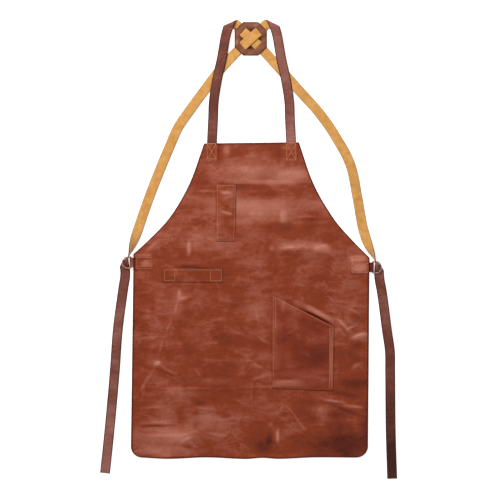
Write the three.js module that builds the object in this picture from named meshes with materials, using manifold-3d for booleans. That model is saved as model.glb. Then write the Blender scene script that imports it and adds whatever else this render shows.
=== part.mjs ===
// A leather cross-back work apron, laid flat with its front face up.
// Millimetres, +Z up, bib towards +Y. Left and right are as seen from above.
// The underside lies at Z = 0. Heights along the apron are measured from the hem,
// and at the end the group moves so that its origin is under the middle of the whole apron.

import * as THREE from "three";
import { mergeVertices } from "three/addons/utils/BufferGeometryUtils.js";
import Module from "manifold-3d";

const wasm = await Module();
wasm.setup();

// Gap kept between pieces that touch.
const clearance = 0.3;

// Panel: bib and skirt cut in one piece.
const panelWidth = 597;
const panelHeight = 800;
const panelThickness = 1.8;
const bibWidth = 240;
const bibTopRise = 3;
const armholeDepth = 286;
const hemCornerRadius = 30;
const skirtLean = { left: -7, right: -4 };
const sideCornerTilt = -9;
const sideCornerFade = 110;
const hemWave = 4;
const edgeFade = 80;

// Straps: one flat strap from each corner of the bib to the ring of the other side.
const strapWidth = 25;
const strapThickness = 2.2;
const strapInset = 20;
const strapLap = 45;
const foldOffset = 56;
const foldHeight = 1099;
const foldRadius = 2.6;
const tieLength = { left: 535, right: 536 };
const tieSlant = { left: 5.7, right: 4 };

// Cross patch: where the straps cross behind the wearer's back. The patch comes down to the floor
// within slitFade beside a slit, and the straps lie one over the other for crossSpread of their width.
const patchWidth = 82;
const patchHeight = 85;
const patchThickness = 1.8;
const patchCentre = { x: -2, y: 1063 };
const patchCutWidth = 22;
const patchCutHeight = 22;
const crossAngle = 42;
const slitDistance = 26;
const slitOpening = 4.6;
const slitLength = strapWidth + 2;
const slitFade = 9;
const crossSpread = 1.15;

// D-rings and the strips that hold them.
const ringHeight = 32;
const ringDepth = 25.5;
const wireDiameter = 3.5;
const ringTilt = 8;
const ringLevel = { left: 497, right: 485 };
const ringCornerRadius = 2;
const barReach = { left: 6, right: 7.5 };
const tabThickness = 1.4;
const tabLap = 42;

// Pockets and loop. across is the left edge's distance from the middle as a share of panelWidth,
// up the lower edge's height as a share of panelHeight. gape is how far a mouth stands open.
// A pocket opens to its full gape at the share pocketFullHeight of its height, rounder for
// a smaller pocketRound, and stays flatter towards its side seams for a smaller seamSharpness.
// The loop opens over loopFullWidth.
const pocketThickness = 1.5;
const pocketFullHeight = 0.62;
const pocketRound = 0.8;
const seamSharpness = 4;
const penPocket = { across: -0.151, up: 0.689, width: 52, height: 144, taper: 4, gape: 6 };
const slantPocket = {
  across: 0.0875,
  up: 0.216,
  width: 157,
  leftHeight: 236,
  rightHeight: 162,
  drop: 6,
  gape: 6.5,
};
const loopFullWidth = 0.62;
const towelLoop = { across: -0.379, up: 0.56, width: 153, height: 34, lap: 27, gape: 7 };

// Armhole outline from the bib's corner down to the side corner.
// drop is a share of armholeDepth, reach a share of what the skirt is wider than the bib on one side.
const armhole = [
  { drop: 0, reach: 0 },
  { drop: 0.14, reach: 0.075 },
  { drop: 0.29, reach: 0.158 },
  { drop: 0.43, reach: 0.26 },
  { drop: 0.57, reach: 0.388 },
  { drop: 0.71, reach: 0.545 },
  { drop: 0.86, reach: 0.768 },
  { drop: 1, reach: 1 },
];

// Hem: across is a share of panelWidth, dip a share of hemWave above the lowest point.
const hem = [
  { across: 0, dip: 0.9 },
  { across: 0.12, dip: 0.1 },
  { across: 0.3, dip: 1 },
  { across: 0.48, dip: 0 },
  { across: 0.56, dip: 0.7 },
  { across: 0.64, dip: 0.1 },
  { across: 0.8, dip: 1 },
  { across: 1, dip: 0.9 },
];

// Folds and creases that lift the panel. across and up place the middle as shares of panelWidth
// and panelHeight, long and wide are half sizes as shares of panelWidth, turn is in degrees
// from the width, and rise is a share of foldRise.
const foldRise = 6;
const folds = [
  { across: 0.52, up: 0.902, long: 0.24, wide: 0.04, turn: 0, rise: 0.7 },
  { across: 0.28, up: 0.67, long: 0.07, wide: 0.035, turn: 80, rise: 0.5 },
  { across: 0.72, up: 0.66, long: 0.2, wide: 0.04, turn: -4, rise: 0.8 },
  { across: 0.93, up: 0.45, long: 0.13, wide: 0.05, turn: 68, rise: 0.9 },
  { across: 0.2, up: 0.46, long: 0.11, wide: 0.045, turn: 62, rise: 0.7 },
  { across: 0.16, up: 0.28, long: 0.09, wide: 0.04, turn: -24, rise: 0.8 },
  { across: 0.36, up: 0.23, long: 0.2, wide: 0.04, turn: 0, rise: 0.6 },
  { across: 0.83, up: 0.15, long: 0.15, wide: 0.045, turn: 6, rise: 1 },
  { across: 0.69, up: 0.13, long: 0.1, wide: 0.035, turn: -40, rise: 0.8 },
  { across: 0.61, up: 0.06, long: 0.07, wide: 0.035, turn: 88, rise: 0.7 },
  { across: 0.25, up: 0.07, long: 0.12, wide: 0.04, turn: 12, rise: 0.6 },
];

// Routes of a strap between its fixed places. along is a share of the straight line from one
// place to the next, aside a share of the same line, outwards from the apron's middle.
const frontRoute = [
  { along: 0.2, aside: 0.02 },
  { along: 0.34, aside: 0.035 },
  { along: 0.52, aside: 0.034 },
  { along: 0.72, aside: 0.021 },
  { along: 0.9, aside: 0.016 },
  { along: 0.94, aside: 0.013 },
];
const backRoute = {
  left: [
    { along: 0.16, aside: 0.045 },
    { along: 0.28, aside: 0.062 },
    { along: 0.36, aside: 0.072 },
    { along: 0.44, aside: 0.079 },
    { along: 0.5, aside: 0.074 },
    { along: 0.64, aside: 0.058 },
    { along: 0.77, aside: 0.039 },
    { along: 0.9, aside: 0.015 },
    { along: 0.96, aside: 0.005 },
  ],
  right: [
    { along: 0.16, aside: 0.043 },
    { along: 0.28, aside: 0.07 },
    { along: 0.36, aside: 0.089 },
    { along: 0.44, aside: 0.1 },
    { along: 0.5, aside: 0.103 },
    { along: 0.56, aside: 0.104 },
    { along: 0.62, aside: 0.097 },
    { along: 0.73, aside: 0.062 },
    { along: 0.85, aside: 0.022 },
    { along: 0.92, aside: 0.009 },
    { along: 0.96, aside: 0.007 },
  ],
};
const tieRoute = {
  left: [
    { along: 0.05, aside: -0.003 },
    { along: 0.13, aside: 0.001 },
    { along: 0.32, aside: 0.007 },
    { along: 0.51, aside: 0.002 },
    { along: 0.8, aside: -0.001 },
  ],
  right: [
    { along: 0.04, aside: 0.003 },
    { along: 0.11, aside: 0.012 },
    { along: 0.3, aside: 0.024 },
    { along: 0.4, aside: 0.031 },
    { along: 0.49, aside: 0.026 },
    { along: 0.77, aside: 0.009 },
  ],
};

// How a strap turns over above its ring and dives through it. before is the distance to the ring's
// middle as a share of ringHeight. outer and inner are the section's slopes in degrees at the edge
// that ends outside and at the edge that ends beside the panel: 180 is flesh side up, 0 grain side up.
// lift is the height of the low edge as a share of the height that clears the ring's upper bow,
// and shift moves the section outwards by a share of strapWidth.
const turnOver = [
  { before: 3.4, outer: 180, inner: 180, lift: 0, shift: 0 },
  { before: 2.6, outer: 166, inner: 166, lift: 0.1, shift: 0 },
  { before: 1.9, outer: 145, inner: 145, lift: 0.4, shift: 0 },
  { before: 1.3, outer: 121, inner: 121, lift: 0.8, shift: 0 },
  { before: 0.8, outer: 98, inner: 100, lift: 1, shift: -0.02 },
  { before: 0.52, outer: 86, inner: 92, lift: 1, shift: -0.04 },
  { before: 0.36, outer: 76, inner: 86, lift: 1, shift: -0.02 },
  { before: 0.2, outer: 58, inner: 78, lift: 0.4, shift: 0 },
  { before: 0.04, outer: 32, inner: 70, lift: 0, shift: 0.03 },
  { before: -0.12, outer: 10, inner: 62, lift: 0, shift: 0.07 },
  { before: -0.26, outer: 0, inner: 38, lift: 0, shift: 0.1 },
  { before: -0.38, outer: 0, inner: 14, lift: 0, shift: 0.1 },
  { before: -0.5, outer: 0, inner: 11, lift: 0, shift: 0.08 },
  { before: -0.7, outer: 0, inner: 8, lift: 0, shift: 0.05 },
  { before: -1.2, outer: 0, inner: 0, lift: 0, shift: 0 },
];

// Facets.
const panelColumns = 28;
const armholeRows = 14;
const skirtRows = 22;
const hemCornerSteps = 4;
const pocketCells = 10;
const bandRows = 2;
const bandColumns = 20;
const strapColumns = 3;
const strapStep = 30;
const routeFineness = 60;
const foldStep = 3;
const wireSides = 8;
const bowSteps = 12;
const ringCornerSteps = 4;
const tabStraightSteps = 3;
const tabLoopSteps = 10;

// Heights.
const floorLevel = strapThickness / 2;
const overLevel = floorLevel + strapThickness + clearance;
const foldTopLevel = floorLevel + 2 * foldRadius;
const lipLevel = patchThickness + 2 * clearance + strapThickness / 2;
const patchRise = strapThickness + 2 * clearance;
const slitInner = slitDistance - slitOpening / 2;
const slitOuter = slitDistance + slitOpening / 2;
const strapBump = strapThickness + clearance;
const bowRadius = (ringHeight - wireDiameter) / 2;
const barToBow = ringDepth - wireDiameter - bowRadius;
const tabWidth = 2 * (bowRadius - ringCornerRadius) - clearance;
const tabBump = 2 * (tabThickness + clearance);
const tabBendRadius = wireDiameter / 2 + clearance + tabThickness / 2;
const tabLoopRadius = tabBendRadius + tabThickness / 2;
const tiltSine = Math.sin(THREE.MathUtils.degToRad(ringTilt));
const barLevel = tabLoopRadius + (tabWidth / 2) * tiltSine + clearance / 2;
const upperBowTop = barLevel - bowRadius * tiltSine + wireDiameter / 2;
const overBowLift = upperBowTop + clearance;

const sideCornerHeight = panelHeight - armholeDepth;
const middle = (a, b) => (a + b) / 2;
const clampShare = (t) => THREE.MathUtils.clamp(t, 0, 1);
const radians = THREE.MathUtils.degToRad;
const smooth = (t) => THREE.MathUtils.smoothstep(t, 0, 1);

// The value that a table gives between its rows, on a smooth curve. The key column rises.
function tableValue(rows, key, column, at) {
  const last = rows.length - 1;
  if (at <= rows[0][key]) return rows[0][column];
  if (at >= rows[last][key]) return rows[last][column];
  const i = rows.findIndex((row) => row[key] > at) - 1;
  const slope = (n) => {
    const low = rows[Math.max(n - 1, 0)];
    const high = rows[Math.min(n + 1, last)];
    return (high[column] - low[column]) / (high[key] - low[key]);
  };
  const span = rows[i + 1][key] - rows[i][key];
  const t = (at - rows[i][key]) / span;
  const start = rows[i][column];
  const end = rows[i + 1][column];
  const rise = t * t * (3 - 2 * t);
  const leave = t * (1 - t) * (1 - t) * span * slope(i);
  const arrive = t * t * (t - 1) * span * slope(i + 1);
  return start + rise * (end - start) + leave + arrive;
}

// The same between straight lines, for levels that must not overshoot.
function tableLevel(rows, key, column, at) {
  const last = rows.length - 1;
  if (at <= rows[0][key]) return rows[0][column];
  if (at >= rows[last][key]) return rows[last][column];
  const i = rows.findIndex((row) => row[key] > at) - 1;
  const t = (at - rows[i][key]) / (rows[i + 1][key] - rows[i][key]);
  return THREE.MathUtils.lerp(rows[i][column], rows[i + 1][column], t);
}

// A geometry with its faces pointing out, whichever way round its grid ran.
function outward(geometry) {
  const position = geometry.getAttribute("position");
  const index = geometry.getIndex().array;
  const corner = (n) => new THREE.Vector3().fromBufferAttribute(position, index[n]);
  let volume = 0;
  for (let n = 0; n < index.length; n += 3) {
    volume += corner(n).dot(corner(n + 1).cross(corner(n + 2)));
  }
  if (volume < 0) index.reverse();
  geometry.computeVertexNormals();
  return geometry;
}

// A closed body between two matching grids of points.
function slab(lower, upper) {
  const rows = lower.length;
  const columns = lower[0].length;
  const points = [...lower.flat(), ...upper.flat()];
  const low = (i, j) => i * columns + j;
  const up = (i, j) => rows * columns + low(i, j);
  const index = [];
  const quad = (a, b, c, d) => index.push(a, b, c, a, c, d);
  for (let i = 0; i < rows - 1; i++) {
    for (let j = 0; j < columns - 1; j++) {
      quad(up(i, j), up(i, j + 1), up(i + 1, j + 1), up(i + 1, j));
      quad(low(i, j), low(i + 1, j), low(i + 1, j + 1), low(i, j + 1));
    }
    const end = columns - 1;
    quad(up(i, 0), up(i + 1, 0), low(i + 1, 0), low(i, 0));
    quad(up(i + 1, end), up(i, end), low(i, end), low(i + 1, end));
  }
  for (let j = 0; j < columns - 1; j++) {
    const end = rows - 1;
    quad(up(0, j + 1), up(0, j), low(0, j), low(0, j + 1));
    quad(up(end, j), up(end, j + 1), low(end, j + 1), low(end, j));
  }
  const geometry = new THREE.BufferGeometry().setFromPoints(points);
  geometry.setIndex(index);
  return outward(geometry);
}

// A leather sheet whose underside follows the grid, with its thickness measured upwards.
function sheet(grid, thickness) {
  const up = new THREE.Vector3(0, 0, thickness);
  const upper = grid.map((row) => row.map((point) => point.clone().add(up)));
  return slab(grid, upper);
}

// A leather strip whose middle follows the grid, with its thickness square to the surface.
function strip(grid, thickness) {
  const at = (i, j) => {
    const row = grid[THREE.MathUtils.clamp(i, 0, grid.length - 1)];
    return row[THREE.MathUtils.clamp(j, 0, row.length - 1)];
  };
  const shifted = (share) =>
    grid.map((row, i) =>
      row.map((point, j) => {
        const along = at(i + 1, j).clone().sub(at(i - 1, j));
        const across = at(i, j + 1).clone().sub(at(i, j - 1));
        const normal = along.cross(across).normalize();
        return point.clone().addScaledVector(normal, share * thickness);
      }),
    );
  return slab(shifted(-0.5), shifted(0.5));
}

function solidOf(geometry) {
  const bare = geometry.clone();
  bare.deleteAttribute("normal");
  bare.deleteAttribute("uv");
  const merged = mergeVertices(bare, 1e-4);
  const mesh = new wasm.Mesh({
    numProp: 3,
    vertProperties: merged.getAttribute("position").array,
    triVerts: new Uint32Array(merged.getIndex().array),
  });
  return new wasm.Manifold(mesh);
}

function geometryOf(solid) {
  const mesh = solid.getMesh();
  const geometry = new THREE.BufferGeometry();
  geometry.setAttribute("position", new THREE.BufferAttribute(mesh.vertProperties, 3));
  geometry.setIndex(new THREE.BufferAttribute(mesh.triVerts, 1));
  geometry.computeVertexNormals();
  return geometry;
}

// Panel outline: left and right edge at a height above the hem.
function panelEdge(side, y) {
  const lean = (side < 0 ? skirtLean.left : skirtLean.right) * clampShare(1 - y / sideCornerHeight);
  const half = panelWidth / 2;
  if (y >= sideCornerHeight) {
    const drop = (panelHeight - y) / armholeDepth;
    const reach = tableValue(armhole, "drop", "reach", drop);
    return side * THREE.MathUtils.lerp(bibWidth / 2, half, reach);
  }
  const fall = Math.max(hemCornerRadius - y, 0);
  const corner = hemCornerRadius - Math.sqrt(hemCornerRadius ** 2 - fall ** 2);
  return side * (half - corner) + lean;
}

// How high the panel's underside is lifted by its folds and by what is sewn behind it.
const bell = (t) => (Math.abs(t) < 1 ? Math.cos((Math.PI * t) / 2) ** 2 : 0);

function foldLift(x, y) {
  return folds.reduce((sum, fold) => {
    const dx = x - (fold.across - 0.5) * panelWidth;
    const dy = y - fold.up * panelHeight;
    const turn = radians(fold.turn);
    const along = dx * Math.cos(turn) + dy * Math.sin(turn);
    const across = dy * Math.cos(turn) - dx * Math.sin(turn);
    const share = bell(along / (fold.long * panelWidth)) * bell(across / (fold.wide * panelWidth));
    return sum + fold.rise * foldRise * share;
  }, 0);
}

const columnPitch = bibWidth / panelColumns;
const rowPitch = Math.max(armholeDepth / armholeRows, sideCornerHeight / skirtRows);
const sidePitch = panelWidth / panelColumns;

function plateau(distance, half, fade) {
  return 1 - smooth((Math.abs(distance) - half) / fade);
}

function seamLift(x, y) {
  const strapAt = bibWidth / 2 - strapInset;
  const behindBib =
    strapBump *
    plateau(Math.abs(x) - strapAt, strapWidth / 2 + 2 * columnPitch, columnPitch) *
    plateau(panelHeight - y, strapLap + rowPitch, rowPitch);
  const behindSide = [-1, 1].map((side) => {
    const level = side < 0 ? ringLevel.left : ringLevel.right;
    const inwards = side * (panelEdge(side, level) - x);
    return (
      tabBump *
      plateau(inwards, Math.ceil(tabLap / sidePitch) * sidePitch + clearance, sidePitch) *
      plateau(y - level, tabWidth / 2 + rowPitch, rowPitch)
    );
  });
  return Math.max(behindBib, ...behindSide);
}

function panelLift(x, y) {
  return Math.max(foldLift(x, y), seamLift(x, y));
}

function panelRows() {
  const rows = [];
  for (let i = 0; i < armholeRows; i++) {
    rows.push(panelHeight - (armholeDepth * i) / armholeRows);
  }
  for (let i = 0; i < skirtRows; i++) {
    const share = i / skirtRows;
    rows.push(THREE.MathUtils.lerp(sideCornerHeight, hemCornerRadius, share));
  }
  for (let i = 0; i <= hemCornerSteps; i++) {
    const angle = (Math.PI / 2) * (i / hemCornerSteps);
    rows.push(hemCornerRadius * (1 - Math.sin(angle)));
  }
  return rows;
}

function apronPanel() {
  const grid = panelRows().map((y) => {
    const left = panelEdge(-1, y);
    const right = panelEdge(1, y);
    const nearHem = 1 - clampShare(y / edgeFade);
    const nearTop = 1 - clampShare((panelHeight - y) / edgeFade);
    const nearCorner = 1 - clampShare(Math.abs(y - sideCornerHeight) / sideCornerFade);
    return Array.from({ length: panelColumns + 1 }, (_, j) => {
      const share = j / panelColumns;
      const x = THREE.MathUtils.lerp(left, right, share);
      const dip = hemWave * tableValue(hem, "across", "dip", share) * nearHem;
      const tilt = (bibTopRise * nearTop + sideCornerTilt * nearCorner) * (share - 0.5);
      const height = y + dip + tilt;
      return new THREE.Vector3(x, height, panelLift(x, height));
    });
  });
  return sheet(grid, panelThickness);
}

// A four-cornered piece lying on the panel, bulged by up to gape where shape says.
// Corners are given from the lower left, the other way round from a clock.
function onPanel(corners, shape, rows, columns) {
  const [lowerLeft, lowerRight, upperRight, upperLeft] = corners;
  const grid = [];
  for (let i = 0; i <= rows; i++) {
    const v = i / rows;
    const left = lowerLeft.clone().lerp(upperLeft, v);
    const right = lowerRight.clone().lerp(upperRight, v);
    const row = [];
    for (let j = 0; j <= columns; j++) {
      const u = j / columns;
      const place = left.clone().lerp(right, u);
      const seat = panelLift(place.x, place.y) + panelThickness + clearance;
      row.push(new THREE.Vector3(place.x, place.y, seat + shape(u, v)));
    }
    grid.push(row);
  }
  return sheet(grid, pocketThickness);
}

// The lower left corner of a pocket or the loop.
function placed({ across, up }) {
  return { left: across * panelWidth, bottom: up * panelHeight };
}

// A pocket front sewn on three sides: flat along the seams, open at the top.
function pocketShape(gape) {
  return (u, v) => {
    const acrossShare = 1 - Math.abs(2 * u - 1) ** seamSharpness;
    const upShare = clampShare(v / pocketFullHeight) ** pocketRound;
    return gape * acrossShare * upShare;
  };
}

function penPocketFront() {
  const { left, bottom } = placed(penPocket);
  const { width, height, taper, gape } = penPocket;
  const corners = [
    new THREE.Vector2(left, bottom),
    new THREE.Vector2(left + width - taper, bottom),
    new THREE.Vector2(left + width, bottom + height),
    new THREE.Vector2(left, bottom + height),
  ];
  return onPanel(corners, pocketShape(gape), pocketCells, pocketCells);
}

function slantPocketFront() {
  const { left, bottom } = placed(slantPocket);
  const { width, leftHeight, rightHeight, drop, gape } = slantPocket;
  const corners = [
    new THREE.Vector2(left, bottom + drop),
    new THREE.Vector2(left + width, bottom),
    new THREE.Vector2(left + width, bottom + rightHeight),
    new THREE.Vector2(left, bottom + drop + leftHeight),
  ];
  return onPanel(corners, pocketShape(gape), pocketCells, pocketCells);
}

// A flat band sewn down at both ends and standing off the panel between them.
function towelBand() {
  const { left, bottom } = placed(towelLoop);
  const { width, height, lap, gape } = towelLoop;
  const corners = [
    new THREE.Vector2(left, bottom),
    new THREE.Vector2(left + width, bottom),
    new THREE.Vector2(left + width, bottom + height),
    new THREE.Vector2(left, bottom + height),
  ];
  const lapShare = lap / width;
  const shape = (u) => {
    const inside = (0.5 - Math.abs(u - 0.5) - lapShare) / (0.5 - lapShare);
    return gape * smooth(inside / loopFullWidth);
  };
  return onPanel(corners, shape, bandRows, bandColumns);
}

// A quarter of the patch, drawn with the strap along +X and then turned to its place. It lies on
// the floor in the middle of the patch and rides over the strap outside the slit.
function patchQuarter(turn, signX, signY) {
  const reach = patchWidth;
  const half = slitLength / 2;
  const foot = half + slitFade;
  const grid = [-reach, slitInner, slitOuter, reach].map((along) =>
    [-reach, -foot, -half, half, foot, reach].map((across) => {
      const raised = along >= slitOuter && Math.abs(across) <= half;
      return new THREE.Vector3(along, across, raised ? patchRise : 0);
    }),
  );
  const leaf = sheet(grid, patchThickness).rotateZ(radians(turn));
  const corners = [
    [-clearance, -clearance],
    [patchWidth / 2, -clearance],
    [patchWidth / 2, patchHeight / 2 - patchCutHeight],
    [patchWidth / 2 - patchCutWidth, patchHeight / 2],
    [-clearance, patchHeight / 2],
  ];
  const outline = new THREE.Shape(corners.map(([x, y]) => new THREE.Vector2(signX * x, signY * y)));
  const depth = patchRise + patchThickness;
  const mould = new THREE.ExtrudeGeometry(outline, { depth, bevelEnabled: false });
  return solidOf(leaf).intersect(solidOf(mould));
}

function crossPatch() {
  const quarters = [
    { turn: crossAngle, x: 1, y: 1 },
    { turn: 180 - crossAngle, x: -1, y: 1 },
    { turn: 180 + crossAngle, x: -1, y: -1 },
    { turn: -crossAngle, x: 1, y: -1 },
  ];
  const throughAll = 4 * (patchRise + patchThickness);
  const slit = new THREE.BoxGeometry(slitOpening, slitLength, throughAll);
  const cutter = (turn) => slit.clone().translate(slitDistance, 0, 0).rotateZ(radians(turn));
  const patch = quarters
    .map(({ turn, x, y }) => patchQuarter(turn, x, y))
    .reduce((whole, quarter) => whole.add(quarter));
  const pierced = quarters.reduce((body, { turn }) => body.subtract(solidOf(cutter(turn))), patch);
  return geometryOf(pierced).translate(patchCentre.x, patchCentre.y, 0);
}

const barReachOf = (side) => (side < 0 ? barReach.left : barReach.right);

function bowCentre(side) {
  const level = side < 0 ? ringLevel.left : ringLevel.right;
  const edge = panelEdge(side, level);
  return new THREE.Vector2(edge + side * (barReachOf(side) + barToBow), level);
}

// D-ring: the bar stands along Y beside the panel and the bow points outwards, along +X.
function dRing() {
  const corner = ringCornerRadius;
  const stations = [];
  const arc = (x, y, radius, from, to, steps) => {
    for (let i = 0; i <= steps; i++) {
      const angle = radians(THREE.MathUtils.lerp(from, to, i / steps));
      const out = new THREE.Vector3(Math.cos(angle), Math.sin(angle), 0);
      stations.push({ place: new THREE.Vector3(x, y, 0).addScaledVector(out, radius), out });
    }
  };
  arc(0, 0, bowRadius, -90, 90, bowSteps);
  arc(corner - barToBow, bowRadius - corner, corner, 90, 180, ringCornerSteps);
  arc(corner - barToBow, corner - bowRadius, corner, 180, 270, ringCornerSteps);
  const points = stations.flatMap(({ place, out }) =>
    Array.from({ length: wireSides }, (_, n) => {
      const angle = (2 * Math.PI * n) / wireSides;
      const spot = place.clone().addScaledVector(out, (wireDiameter / 2) * Math.cos(angle));
      return spot.setZ((wireDiameter / 2) * Math.sin(angle));
    }),
  );
  const index = [];
  for (let i = 0; i < stations.length; i++) {
    for (let n = 0; n < wireSides; n++) {
      const at = (station, side) =>
        (station % stations.length) * wireSides + (side % wireSides);
      index.push(at(i, n), at(i + 1, n), at(i + 1, n + 1));
      index.push(at(i, n), at(i + 1, n + 1), at(i, n + 1));
    }
  }
  const wire = new THREE.BufferGeometry().setFromPoints(points);
  wire.setIndex(index);
  return outward(wire);
}

// Ring strip: under the panel in two layers, round the ring's bar outside it. Drawn with the
// bar at the middle of the strip's own frame and outwards along +X, then turned with the ring.
function ringTab(side) {
  const edge = -barReachOf(side) + clearance;
  const end = edge - tabLap;
  const lowerZ = tabThickness / 2 - barLevel;
  const upperZ = lowerZ + tabThickness + clearance;
  const touch = (z, sign) => {
    const away = Math.hypot(edge, z);
    return Math.atan2(z, edge) + sign * Math.acos(tabBendRadius / away);
  };
  const start = touch(lowerZ, 1);
  const stop = touch(upperZ, -1) + 2 * Math.PI;
  const profile = [];
  for (let i = 0; i <= tabStraightSteps; i++) {
    profile.push([THREE.MathUtils.lerp(end, edge, i / tabStraightSteps), lowerZ]);
  }
  for (let i = 0; i <= tabLoopSteps; i++) {
    const angle = THREE.MathUtils.lerp(start, stop, i / tabLoopSteps);
    profile.push([tabBendRadius * Math.cos(angle), tabBendRadius * Math.sin(angle)]);
  }
  for (let i = 0; i <= tabStraightSteps; i++) {
    profile.push([THREE.MathUtils.lerp(edge, end, i / tabStraightSteps), upperZ]);
  }
  const grid = profile.map(([x, z]) => {
    const turned = smooth((x - edge) / (barReachOf(side) - tabLoopRadius));
    const turn = -side * radians(ringTilt) * turned;
    return [-0.5, 0, 0.5].map((share) => {
      const y = share * tabWidth;
      const across = y * Math.cos(turn) - z * Math.sin(turn);
      return new THREE.Vector3(x, across, y * Math.sin(turn) + z * Math.cos(turn));
    });
  });
  return strip(grid, tabThickness);
}

// The cross-section of a strap: points from the edge that ends outside to the edge that ends
// beside the panel. Slopes are in degrees, offsets run inwards and up.
function strapSection({ outer, inner, raised, shift }) {
  const points = [{ inwards: 0, up: 0 }];
  const length = strapWidth / strapColumns;
  for (let n = 0; n < strapColumns; n++) {
    const slope = radians(THREE.MathUtils.lerp(outer, inner, (n + 0.5) / strapColumns));
    const last = points[n];
    points.push({
      inwards: last.inwards + length * Math.cos(slope),
      up: last.up + length * Math.sin(slope),
    });
  }
  const offsets = points.map((point) => point.inwards);
  const centre = middle(Math.min(...offsets), Math.max(...offsets)) + shift * strapWidth;
  const base = raised + (strapThickness / 2) * Math.abs(Math.cos(radians(outer)));
  return points.map((point) => ({ inwards: point.inwards - centre, up: point.up + base }));
}

// The places of a route between two fixed places, in a plane where the strap starts on the left
// and its ring is on the right, so that outwards is to the left of a line that runs down.
function routePlaces(from, to, rows, outwardSign) {
  const line = to.clone().sub(from);
  const outwards = new THREE.Vector2(-line.y, line.x).multiplyScalar(outwardSign);
  return rows.map((row) =>
    from.clone().addScaledVector(line, row.along).addScaledVector(outwards, row.aside),
  );
}

// A smooth route through places. stationAt gives where the route is after some millimetres and
// which way is inwards there, travelTo how far along the route one of its places lies.
function routeThrough(places) {
  const points = places.map((place) => new THREE.Vector3(place.x, place.y, 0));
  const curve = new THREE.CatmullRomCurve3(points, false, "centripetal");
  curve.arcLengthDivisions = routeFineness * (places.length - 1);
  const length = curve.getLength();
  const stationAt = (travelled) => {
    const share = clampShare(travelled / length);
    const ahead = curve.getTangentAt(share);
    return { place: curve.getPointAt(share), inwards: new THREE.Vector3(ahead.y, -ahead.x, 0) };
  };
  const travelTo = (place) => curve.getLengths()[routeFineness * places.indexOf(place)];
  return { length, stationAt, travelTo };
}

// Distances along a route that take in every stop, with the stretches between them divided evenly.
function stationStops(stops, length) {
  const travelled = [];
  let last = 0;
  for (const next of [...stops].sort((a, b) => a - b).concat(length)) {
    const count = Math.ceil((next - last) / strapStep);
    for (let n = 1; n <= count; n++) {
      travelled.push(THREE.MathUtils.lerp(last, next, n / count));
    }
    last = next;
  }
  return travelled;
}

function laidRow(station, section) {
  return section.map((point) => {
    const spot = station.place.clone().addScaledVector(station.inwards, point.inwards);
    return spot.setZ(point.up);
  });
}

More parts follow.
